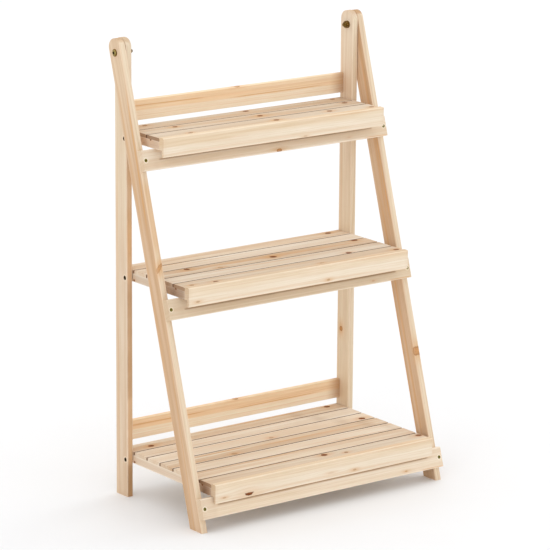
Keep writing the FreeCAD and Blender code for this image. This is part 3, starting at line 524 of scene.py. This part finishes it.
for name, seed, light in (("back_rail_upper", 21, 1.0), ("back_rail_lower", 22, 1.0)):
    board(name, X, Z, (0.2725, 0.0205, 0.0045), HONEY, seed, pith=(0, 0.100, 0.020), rings=0.30, bands=0.7,
          knots=[(0.004, 0.0212, 0.0022, dict(tone=0.55, long=3.0, tilt=0.0, glow=1.2))], brighten=light, knot=AMBER,
          sap=(-0.0015, 0.0014, -0.004), wander=0.006, sapwood=srgb(255, 243, 221),
          # the right end beside the right back leg is painted darker: painted shade
          painted_shades=[(0.0, 0.080, 0.0, 0.254, 0.40, 0.020, 0.72)],
          streaks=[(0.0070, 0.0015, -0.008, -0.26, -0.08, 0.03, 0.80), (0.0095, 0.0030, 0.000, -0.26, 0.26, 0.05, 0.25),
                   (0.0000, 0.0008, 0.002, 0.00, 0.21, 0.03, 0.85), (0.0035, 0.0014, 0.004, 0.02, 0.26, 0.05, 0.35)])

# front frame
LEG_KNOTS = {"left": [(0.026, -0.0200, 0.0040, dict(tone=0.45, long=1.5, tilt=0.9, glow=1.3))],
             "right": [(-0.223, -0.0192, 0.0036, dict(tone=0.60, long=2.6, tilt=0.0, glow=1.1))]}
LEG_STREAKS = {
    "left": [(-0.0190, 0.0012, -0.048, -0.50, -0.10, 0.05, 0.40), (0.0140, 0.0040, 0.0, -0.20, 0.05, 0.06, 0.25),
             (-0.0040, 0.0024, -0.030, 0.12, 0.37, 0.04, 0.70), (0.0100, 0.0030, 0.000, 0.10, 0.40, 0.05, 0.30),
             (-0.0196, 0.0009, 0.000, 0.06, 0.20, 0.02, 0.45)],
    "right": [(0.0172, 0.0013, 0.000, -0.40, -0.08, 0.03, 0.95), (0.0060, 0.0030, 0.012, -0.40, 0.10, 0.06, 0.45),
              (-0.0140, 0.0016, 0.004, 0.06, 0.24, 0.03, 0.80), (-0.0040, 0.0030, -0.010, 0.05, 0.40, 0.06, 0.40)]}
for word, sx, seed, light in (("left", -1, 31, 1.0), ("right", 1, 32, 1.0)):
    mid = Vector((sx * 0.29325, PIVOT_Y, PIVOT_Z)) - LEG_UP * 0.456
    board("front_leg_" + word, LEG_UP, LEG_BACK, (0.484, 0.0195, 0.00675), LEAN_TAN, seed,
          pith=(0, 0.070 * sx, -0.040), rings=0.34, bands=0.85, centre=mid, knots=LEG_KNOTS[word], knot=AMBER,
          streaks=LEG_STREAKS[word], sap=(-0.0180, 0.0010, 0.0), brighten=light, sapwood=srgb(243, 226, 200), gain=(1.0, 1.02, 1.06),
          holes=[(0.456, 0.0, 0.0076)] if sx < 0 else (), lift=(0.15, 0.42, 0.45) if sx < 0 else None)
RAILS = {"top": 0.2163, "middle": 0.5084, "bottom": 0.899}
RAIL_KNOTS = {"top": [(0.025, -0.0180, 0.0032, dict(tone=0.75, long=2.2, glow=1.2)),
                      (0.202, -0.0130, 0.0014, dict(tone=0.10, long=2.5, glow=0.5))],
              "middle": [(0.202, -0.0140, 0.0014, dict(tone=0.25, long=2.5, glow=0.7))],
              "bottom": [(0.204, -0.0137, 0.0016, dict(tone=0.35, long=2.2)), (0.10, 0.010, 0.0016, dict(tone=0.2))]}
for k, (name, down) in enumerate(RAILS.items()):
    apron_shadow_at = (-0.0008, -0.0032, 0.0040)[k]      # where the apron's lip comes down on the rail: a thin painted contact shadow
    board("front_rail_" + name, X, LEG_UP, (0.300, 0.0205, 0.00725), CREAM, 41 + k,
          pith=(0, 0.090 - 0.010 * k, -0.030), rings=0.30, bands=0.9, knots=RAIL_KNOTS[name], wander=0.006, knot=AMBER,
          brighten=(1.02, 0.95, 1.01)[k], gain=(1.0, 1.02, 1.07) if k != 1 else (1.0, 1.0, 1.0),
          streaks=[(-0.0188, 0.0011, 0.000, 0.245, 0.30, 0.01, 1.0), (0.004, 0.002, 0.004, -0.2, 0.28, 0.08, 0.25)],
          # painted shade: the contact shadow under the apron, and the left end beside the front leg
          painted_shades=[(apron_shadow_at, 0.0019, 0.0, -0.262, 0.262, 0.004, 0.78), (0.0, 0.060, 0.0, -0.32, -0.266, 0.006, 0.10)],
          holes=[(-0.29325, 0.0, 0.0036), (0.29325, 0.0, 0.0036)])

# shelves: knots as (x, y from the rear face, radius, darkness) in mm
SHELVES = {"top": (3, 747.7, 145.4), "middle": (5, 468.0, 230.0), "bottom": (7, 94.0, 319.0)}
SLAT_KNOTS = {
    "top": [(-225, -15.5, 4.6, .55), (24, -11.5, 5.2, .9), (244, -12, 5.0, .6), (-183, -58.8, 4.4, .9),
            (19, -66.1, 5.0, .95), (240, -57, 5.2, .9), (-192, -124, 4.2, .6), (21, -118, 5.0, .9),
            (163, -106.5, 5.0, .85), (259, -121, 4.6, .6)],
    "middle": [(235, -13.9, 5.6, .9), (-183, -98.7, 5.2, .95), (19, -113, 6.2, 1), (240, -95, 6.0, .9),
               (-120, -124.5, 4.6, .25), (164, -173, 5.2, .85), (-193, -212.5, 5.4, .95), (259, -207.5, 5.0, .8),
               (67, -211, 4.0, .35), (-248, -207, 4.0, .4)],
    "bottom": [(-220, -28, 5.4, 1), (239, -11.5, 5.6, .9), (245, -122, 6.0, 1), (10, -123, 4.2, .3),
               (-116, -168.5, 4.8, .3), (25, -278.6, 6.0, .95), (72, -290, 3.4, .6), (264, -283.5, 5.6, .85)],
}
# a light slat is (brightness, True)
SLAT_TONE = {"top": ((0.95, 0), (0.95, 0), (0.95, 0)), "middle": ((1.08, 0), (1.02, 1), (1.02, 0), (0.99, 1), (0.97, 0)),
             "bottom": ((1.06, 0), (1.02, 1), (1.06, 1), (1.04, 0), (1.06, 1), (1.09, 0), (0.99, 0))}
# where the right front leg's soft shadow is painted on each bottom slat, along the slat in metres
LEG_SHADOW_AT = {1: 0.145, 2: 0.168, 3: 0.195, 4: 0.225, 5: 0.252}
for name, (count, high, deep) in SHELVES.items():
    for k in range(count):
        rear = -44.6 * k
        wide = 42.0 if k < count - 1 else deep - 14 - 44.6 * k
        cy = rear - wide / 2
        ks = []
        for x, y, size, tone in SLAT_KNOTS[name]:
            if rear - wide - 4 <= y <= rear + 4:
                ks.append((x * MM, (y - cy) * MM, size * 1.04 * MM, dict(tone=tone, long=1.2, tilt=0.5)))
        rnd = random.Random("%s%d" % (name, k))
        streaks = []
        if name == "bottom" and k == 3:
            streaks = [(0.0105, 0.0028, -0.008, -0.20, -0.07, 0.03, 0.85), (0.0020, 0.0060, -0.020, -0.05, 0.24, 0.05, 0.50),
                       (-0.0150, 0.0016, 0.000, -0.27, -0.18, 0.03, 0.6)]
        elif name == "middle" and k == 2:
            streaks = [(0.0020, 0.0070, -0.010, -0.22, 0.26, 0.05, 0.50), (0.0060, 0.0020, -0.008, -0.16, -0.05, 0.03, 0.5)]
        else:
            for _ in range(2):
                v0 = rnd.uniform(-0.017, 0.017)
                u0 = rnd.uniform(-0.27, 0.1)
                streaks.append((v0, rnd.uniform(0.0012, 0.0030), rnd.uniform(-0.01, 0.01), u0, u0 + rnd.uniform(0.1, 0.3),
                                0.05, rnd.uniform(0.30, 0.65)))
        tint, light = SLAT_TONE[name][k]
        painted_shades = []
        # painted shadow of the right front leg
        if name == "bottom" and k + 1 in LEG_SHADOW_AT:
            u = LEG_SHADOW_AT[k + 1]
            painted_shades = [(-0.006, 0.030, 0.0, u - 0.006, u + 0.012, 0.018, 0.30)]
        # painted shade on the rear slat's right end beside the right back leg
        if k == 0:
            painted_shades.append((0.030, 0.020, 0.0, 0.262, 0.40, 0.010, 0.70))
        if k >= count - 2:      # painted shade on the end grain beside the apron
            painted_shades.append((0.0, 0.060, 0.0, -0.30, -0.27125, 0.0003, 0.78 if k == count - 1 else 0.30))
        board("%s_slat_%d" % (name, k + 1), X, Y, (0.2715, wide / 2 * MM, 0.0035), PALE if light else PINK,
              100 + 20 * len(name) + k,
              pith=(0, rnd.choice((-1, 1)) * rnd.uniform(0.04, 0.09), -rnd.uniform(0.02, 0.05)),
              spacing=rnd.uniform(0.0026, 0.0036), rings=0.44, bands=1.0, knots=ks, streaks=streaks,
              brighten=tint, gain=(0.99, 1.035, 1.055), wander=0.010, gap_shade_from=-1.0 if k else 0.0, painted_shades=painted_shades)
    # bearers: the wide face is the outer one; small knots near the rear and behind the apron
    run = deep - 14
    small = [((-50 + run / 2) * MM, (25 - 24 - 8.25) * MM, 0.0022, dict(tone=0.9, long=1.3, glow=0.6)),
             ((-run + 24 + run / 2) * MM, (25 - 7 - 8.25 - 4) * MM, 0.0022, dict(tone=0.9, long=1.3, glow=0.6))]
    for word, sx in (("left", -1), ("right", 1)):
        # brightness differs per shelf (top lighter, middle darker) as painted light and shade; the bands paint shade on
        # the front end of each bearer's outer face
        board("%s_bearer_%s" % (name, word), Y, Z, (run / 2 * MM, 0.00825, 0.009), PINK, 61 + len(name) + (sx > 0),
              pith=(0, 0.060, -0.030 * sx), spacing=0.0026, rings=0.38, bands=0.6, knots=small,
              brighten=dict(top=1.06, middle=0.86, bottom=0.97)[name],
              painted_shades=[(0.0, 0.03, 0.0, -run / 2 * MM, (dict(top=28, middle=44, bottom=30)[name] - run / 2) * MM, 0.010,
                       dict(top=0.30, middle=0.66, bottom=0.82)[name])])
    aks = {"bottom": [(-0.190, -0.0100, 0.0062, dict(long=1.7, tone=1, tilt=0.0, cut=0.0, glow=0.5)),
                      (-0.250, -0.0093, 0.0017, dict(tone=0.22, long=2.4)), (0.071, -0.0110, 0.0020, dict(tone=0.25, long=2.0)),
                      (0.011, -0.0070, 0.0022, dict(tone=0.06, long=3.0, glow=0.6))],
           "middle": [(-0.250, -0.0105, 0.0018, dict(tone=0.30, long=2.4)), (0.069, -0.0130, 0.0020, dict(tone=0.30, long=1.8))],
           "top": [(0.073, -0.0170, 0.0020, dict(tone=0.15, long=2.4))]}[name]
    board(name + "_apron", X, Z, (0.2715, 0.01915, 0.007), CREAM, 81 + len(name),
          pith=(0, 0.095, -0.020), spacing=0.0036, rings=0.26, bands=1.0, knots=aks, wander=0.006,
          streaks=[(-0.012, 0.002, 0.003, -0.25, 0.2, 0.08, 0.20), (-0.0185, 0.0009, 0.0, -0.26, 0.26, 0.03, 0.45),
                   (0.0165, 0.0014, 0.0, 0.12, 0.27, 0.05, 0.40), (0.0185, 0.0008, 0.0, 0.02, 0.27, 0.05, 0.35)],
          sap=(0.004, 0.0045, 0.010), sapwood=srgb(247, 234, 215),
          # painted shade on the left end beside the front leg and along the top edge next to the slats
          painted_shades=[(0.0, 0.050, 0.0, -0.30, -0.27125, 0.0003, dict(top=0.05, middle=0.30, bottom=0.32)[name]),
                  (0.0198, 0.0006, 0.0, -0.30, 0.30, 0.01, dict(top=0.10, middle=0.50, bottom=0.06)[name])])


# ------------------------------------------------------------------- metals
def metal(name, base, dark, rough=0.34, axis=None, scale=1.0):
    """Aged brass or browned steel: dark patina in clouds and scratches."""
    mat = bpy.data.materials.new(name)
    mat.use_nodes = True
    n = Net(mat.node_tree)
    bsdf = mat.node_tree.nodes["Principled BSDF"]
    where = n.new("ShaderNodeTexCoord").outputs["Object"]
    cloud = n.noise(where, 420.0 * scale, 4.0, 0.6)
    pits = n.noise(where, 2600.0 * scale, 2.0, 0.6)
    lines = n.noise(n.vec("MULTIPLY", where, (300.0, 5200.0, 5200.0)), 1.0, 2.0)
    worn = n.span(cloud, 0.36, 0.66, smooth=True)
    c = n.mix(worn, dark, base)
    c = n.mix(n.math("MULTIPLY", n.span(pits, 0.56, 0.72), 0.5), c, dark)
    n.put(bsdf.inputs["Base Color"], c)
    bsdf.inputs["Metallic"].default_value = 1.0
    r = n.math("ADD", n.span(cloud, 0.3, 0.7, rough + 0.16, rough - 0.04), n.math("MULTIPLY", lines, 0.08))
    n.put(bsdf.inputs["Roughness"], r)
    bump = n.new("ShaderNodeBump")
    bump.inputs["Strength"].default_value = 0.25
    bump.inputs["Distance"].default_value = 0.00005
    n.put(bump.inputs["Height"], n.math("ADD", pits, n.math("MULTIPLY", lines, 0.6)))
    n.put(bsdf.inputs["Normal"], bump.outputs[0])
    return mat


BRASS = metal("brass_aged", (0.52, 0.42, 0.15, 1), (0.22, 0.16, 0.045, 1), 0.34)
BRASS_DARK = metal("brass_dark", (0.34, 0.20, 0.05, 1), (0.09, 0.045, 0.010, 1), 0.36)
OLIVE = metal("brass_olive", (0.34, 0.29, 0.07, 1), (0.12, 0.10, 0.02, 1), 0.36)
BROWNED = metal("steel_browned", (0.11, 0.07, 0.025, 1), (0.032, 0.019, 0.006, 1), 0.42)
STEEL = metal("steel_plain", (0.55, 0.54, 0.52, 1), (0.28, 0.27, 0.26, 1), 0.32)


def dowel_wood():
    mat = bpy.data.materials.new("beech_dowel")
    mat.use_nodes = True
    n = Net(mat.node_tree)
    bsdf = mat.node_tree.nodes["Principled BSDF"]
    where = n.new("ShaderNodeTexCoord").outputs["Object"]
    grain = n.noise(n.vec("MULTIPLY", where, (60.0, 900.0, 900.0)), 1.0, 3.0, 0.6)
    fleck = n.noise(n.vec("MULTIPLY", where, (400.0, 1500.0, 1500.0)), 1.0, 1.0)
    c = n.mix(n.span(grain, 0.3, 0.7), srgb(222, 188, 148), srgb(196, 152, 108))
    c = n.mix(n.math("MULTIPLY", n.span(fleck, 0.6, 0.7), 0.5), c, srgb(150, 105, 70))
    n.put(bsdf.inputs["Base Color"], c)
    n.put(bsdf.inputs["Roughness"], n.span(grain, 0.2, 0.8, 0.5, 0.65))
    bump = n.new("ShaderNodeBump")
    bump.inputs["Strength"].default_value = 0.3
    bump.inputs["Distance"].default_value = 0.0001
    n.put(bump.inputs["Height"], grain)
    n.put(bsdf.inputs["Normal"], bump.outputs[0])
    return mat


BEECH = dowel_wood()
for name, obj in nodes.items():
    if name.endswith("_dowels"):
        dress(obj, BEECH)
    elif name.endswith("_slat_pins"):
        dress(obj, STEEL)
for name, mat in (("leg_spacers", BRASS_DARK), ("shelf_pivot_spacers", BRASS_DARK)):
    dress(nodes[name], mat)


# ------------------------------------------------------------- turned hardware
def axis_frame(at, outward, turn=0.0):
    """Local Z along outward, origin at a point in metres, units millimetres."""
    z = outward.normalized()
    x = (Z if abs(z.z) < 0.9 else Y).cross(z).normalized()
    y = z.cross(x)
    m = Matrix((x, y, z)).transposed().to_4x4()
    m.translation = at
    return m @ Matrix.Rotation(math.radians(turn), 4, "Z") @ Matrix.Scale(MM, 4)


def hexagon(corner, limit=99.0):
    """Radius of a hexagon over the angle, cut off by a chamfer's cone."""
    flat = corner * math.cos(math.pi / 6)
    return lambda a: min(flat / math.cos((a % (math.pi / 3)) - math.pi / 6), limit)


def cross(long, half):
    """Radius of a cross-shaped recess."""
    def r(a):
        a = a % (math.pi / 2)
        a = min(a, math.pi / 2 - a)
        return min(long, half / max(math.sin(a), 1e-6))
    return r


def thread(core, depth, pitch, t, fade=1.0):
    """Radius of a single-start thread at the height t."""
    def r(a):
        f = (t / pitch - a / math.tau) % 1.0
        return core + depth * fade * (1.0 - abs(2.0 * f - 1.0)) ** 0.8
    return r


def loft(bm, frame, rings, n=48, loop=False):
    """Rings are (height, radius or radius function, material index)."""
    rows = []
    for t, r, _ in rings:
        if not callable(r) and r == 0:
            rows.append([bm.verts.new(frame @ Vector((0, 0, t)))])
            continue
        row = []
        for k in range(n):
            a = math.tau * k / n
            d = r(a) if callable(r) else r
            row.append(bm.verts.new(frame @ Vector((d * math.cos(a), d * math.sin(a), t))))
        rows.append(row)
    count = len(rows) if loop else len(rows) - 1
    for j in range(count):
        a, b = rows[j], rows[(j + 1) % len(rows)]
        for k in range(n):
            q = (k + 1) % n
            if len(a) == 1:
                f = bm.faces.new((a[0], b[k], b[q]))
            elif len(b) == 1:
                f = bm.faces.new((a[k], b[0], a[q]))
            else:
                f = bm.faces.new((a[k], b[k], b[q], a[q]))
            f.material_index = rings[(j + 1) % len(rows)][2]
            f.smooth = True


def hardware(name, node, body, mats, parts):
    """One mesh for a node: parts is a list of (frame, rings, segments, loop)."""
    bm = bmesh.new()
    for frame_at, rings, n, is_loop in parts:
        loft(bm, frame_at, rings, n, is_loop)
    bmesh.ops.recalc_face_normals(bm, faces=bm.faces)
    for e in bm.edges:
        e.smooth = e.calc_face_angle(0.0) < math.radians(38)
    me = bpy.data.meshes.new(name)
    bm.to_mesh(me)
    bm.free()
    o = bpy.data.objects.new(name, me)
    scene.collection.objects.link(o)
    for m in mats:
        me.materials.append(m)
    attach(o, body)
    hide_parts(node)
    return o


def threaded(core, depth, pitch, top, bottom, step=6):
    """Thread rings from the height top down to bottom."""
    out, t = [], top
    while t > bottom:
        fade = min(1.0, (top - t) / pitch, (t - bottom) / pitch)
        out.append((t, thread(core, depth, pitch, t, fade), 0))
        t -= pitch / step
    return out


parts = []
for side in (-1, 1):
    at = Vector((side * 0.3003, PIVOT_Y, PIVOT_Z))
    # the flange is dark brass and the socket dark steel: painted shade round the head's rim and in its socket; the dome
    # is bright brass
    rings = [(0.0, 4.0, 0), (0.0, 6.9, 0), (0.12, 7.25, 0), (0.4, 7.45, 0), (0.85, 7.5, 0), (1.2, 7.4, 0),
             (1.5, 7.1, 0), (1.7, 6.75, 0), (1.72, 6.35, 0), (1.66, 6.1, 0), (1.8, 5.9, 1), (2.2, 5.65, 1), (2.6, 5.2, 1),
             (2.9, 4.6, 1), (3.1, 3.9, 1), (3.18, 3.3, 1), (3.08, 3.02, 1), (2.95, hexagon(2.9), 2),
             (1.1, hexagon(2.8), 2), (0.9, hexagon(1.6), 2), (0.7, 0, 2)]
    tail = [(-33.4, 3.0, 0)] + [(t, r, 0) for t, r, _ in threaded(3.35, 0.62, 1.25, -17.0, -39.4)][::-1]
    body = [(-40.3, 0, 0), (-40.3, 2.6, 0), (-39.9, 3.1, 0), (-39.4, 3.35, 0)] + tail[1:] + [
        (-17.0, 3.97, 0), (-0.4, 3.97, 0)]
    parts.append((axis_frame(at, X * side, 12), body + rings, 48, False))
hardware("turned_top_bolts", "top_bolts", "back_frame", [BRASS_DARK, BRASS, BROWNED], parts)

parts = []
for side in (-1, 1):
    at = Vector((side * 0.2725, PIVOT_Y, PIVOT_Z))
    rings = [(0.0, 4.3, 0), (0.0, 7.35, 0), (0.15, 7.52, 0), (0.45, 7.6, 0), (1.0, 7.56, 0), (1.3, 7.35, 0),
             (1.45, 7.05, 0), (1.5, 6.6, 0), (1.5, 5.0, 0), (1.4, 4.5, 0), (1.1, 4.3, 0), (0.5, 4.25, 0)]
    parts.append((axis_frame(at, X * -side), rings, 56, True))
hardware("turned_top_washers", "top_bolt_washers", "back_frame", [BRASS_DARK], parts)


def nut_rings(corner, tall, bore, low=0.0):
    """A chamfered hexagon nut with countersunk mouths."""
    flat = corner * math.cos(math.pi / 6)
    lean = 0.62
    out = [(low, bore + 0.7, 0), (low, flat * 0.97, 0)]
    for t in (0.12, 0.3, 0.5, 0.75, 1.0):
        out.append((low + t, hexagon(corner, flat * 0.97 + t / lean), 0))
    for t in (1.0, 0.75, 0.5, 0.3, 0.12):
        out.append((low + tall - t, hexagon(corner, flat * 0.97 + t / lean), 0))
    out += [(low + tall, flat * 0.97, 0), (low + tall, bore + 0.9, 0), (low + tall - 0.7, bore + 0.12, 0),
            (low + tall / 2, bore + 0.05, 0), (low + 0.6, bore + 0.12, 0)]
    return out


parts = [(axis_frame(Vector((side * 0.2710, PIVOT_Y, PIVOT_Z)), X * -side, 18 + 22 * side),
          nut_rings(7.5, 6.0, 4.02), 72, True) for side in (-1, 1)]
hardware("turned_top_nuts", "top_bolt_nuts", "back_frame", [BRASS_DARK], parts)

parts, nuts = [], []
for side in (-1, 1):
    for j, high in enumerate((730.2, 450.5, 76.5)):
        at = Vector((side * 0.282, 0.12823, high * MM))
        body = [(-35.8, 0, 0), (-35.8, 1.9, 0), (-35.4, 2.3, 0)]
        body += threaded(2.45, 0.5, 1.0, -26.6, -35.4)[::-1]
        body += [(-26.6, 2.97, 0), (-0.3, 2.97, 0), (0.0, 3.2, 0), (0.0, 4.2, 0), (0.15, 4.4, 0), (0.5, 4.48, 0),
                 (1.7, 4.46, 0), (2.3, 4.3, 0), (2.7, 3.95, 0), (2.92, 3.5, 0), (3.0, 2.95, 0), (2.96, 2.65, 0),
                 (2.8, hexagon(2.5), 0), (1.2, hexagon(2.4), 0), (1.0, hexagon(1.4), 0), (0.85, 0, 0)]
        parts.append((axis_frame(at, X * side, 25 * j + 7), body, 36, False))
        nuts.append((axis_frame(Vector((side * 0.2532, 0.12823, high * MM)), X * -side, 14 * j + 9),
                     nut_rings(5.77, 5.0, 3.0), 72, True))
hardware("turned_shelf_bolts", "shelf_pivot_bolts", "back_frame", [BROWNED], parts)
hardware("turned_shelf_nuts", "shelf_pivot_nuts", "back_frame", [BROWNED], nuts)

parts = []
for j, down in enumerate((0.2163, 0.5084, 0.899)):
    for side in (-1, 1):
        at = Vector((side * 0.29325, PIVOT_Y, PIVOT_Z)) - LEG_UP * down - LEG_BACK * 0.0337
        rings = [(-38.9, 0, 0), (-37.2, 0.7, 0)] + threaded(1.35, 0.55, 1.6, -14.5, -37.0)[::-1]
        rings += [(-14.5, 1.9, 0), (-2.2, 1.95, 0), (-0.55, 3.3, 0), (-0.25, 3.48, 0), (0.0, 3.45, 0), (0.0, 2.6, 0),
                  (0.0, cross(1.8, 0.40), 0), (-0.7, cross(1.3, 0.34), 1), (-1.2, 0.22, 1), (-1.3, 0, 1)]
        parts.append((axis_frame(at, -LEG_BACK, 31 * j + 13 * side), rings, 48, False))
hardware("turned_rail_screws", "front_rail_screws", "front_frame", [OLIVE, BROWNED], parts)


# ----------------------------------------------------- floor, light and camera
def make_floor():
    me = bpy.data.meshes.new("floor")
    me.from_pydata([(-60, -60, 0), (60, -60, 0), (60, 60, 0), (-60, 60, 0)], [], [(0, 1, 2, 3)])
    floor = bpy.data.objects.new("floor", me)
    scene.collection.objects.link(floor)
    mat = bpy.data.materials.new("floor_white")
    mat.use_nodes = True
    n = Net(mat.node_tree)
    bsdf = mat.node_tree.nodes["Principled BSDF"]
    where = n.new("ShaderNodeTexCoord").outputs["Object"]
    c = n.mix(n.noise(where, 6.0, 3.0), (0.895, 0.90, 0.91, 1), (0.912, 0.917, 0.925, 1))
    n.put(bsdf.inputs["Base Color"], c)
    bsdf.inputs["Roughness"].default_value = 0.6
    bsdf.inputs["Specular IOR Level"].default_value = 0.2
    dress(floor, mat)
    floor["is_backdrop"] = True
    return floor


make_floor()
world = bpy.data.worlds.new("studio")
scene.world = world
world.use_nodes = True
background = world.node_tree.nodes["Background"]
background.inputs[0].default_value = (1.0, 1.0, 1.0, 1.0)
background.inputs[1].default_value = 1.0


def sun(name, toward, strength, angle, color=(1, 1, 1)):
    """toward points from the object to the light."""
    data = bpy.data.lights.new(name, "SUN")
    data.energy = strength
    data.angle = math.radians(angle)
    data.color = color
    o = bpy.data.objects.new(name, data)
    o.rotation_mode = "QUATERNION"
    o.rotation_quaternion = Vector(toward).to_track_quat("Z", "Y")
    scene.collection.objects.link(o)
    return o


sun("right", (0.9, 0.1, 0.6), 0.38, 40)
sun("left", (-0.8, -0.3, 0.6), 0.15, 40)
sun("above", (0.0, 0.2, 1.0), 0.17, 30)

cam_data = bpy.data.cameras.new("camera")
cam = bpy.data.objects.new("camera", cam_data)
scene.collection.objects.link(cam)
yaw, pitch, roll = math.radians(37.02), math.radians(14.07), math.radians(0.434)
ahead = Vector((math.sin(yaw) * math.cos(pitch), math.cos(yaw) * math.cos(pitch), -math.sin(pitch)))
right = Vector((math.cos(yaw), -math.sin(yaw), 0.0))
above = right.cross(ahead)
right, above = (right * math.cos(roll) + above * math.sin(roll), above * math.cos(roll) - right * math.sin(roll))
m = Matrix((right, above, -ahead)).transposed().to_4x4()
m.translation = Vector((-3.889, -5.1418, 2.057))
cam.matrix_world = m
cam_data.sensor_width = 36.0
cam_data.lens = 36.0 * 3341.0 / 550.0
cam_data.clip_start = 0.1
cam_data.clip_end = 200.0
scene.camera = cam
scene.view_settings.view_transform = "Standard"
scene.view_settings.look = "None"
scene.view_settings.exposure = 0.0
scene.view_settings.gamma = 1.0

low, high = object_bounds()
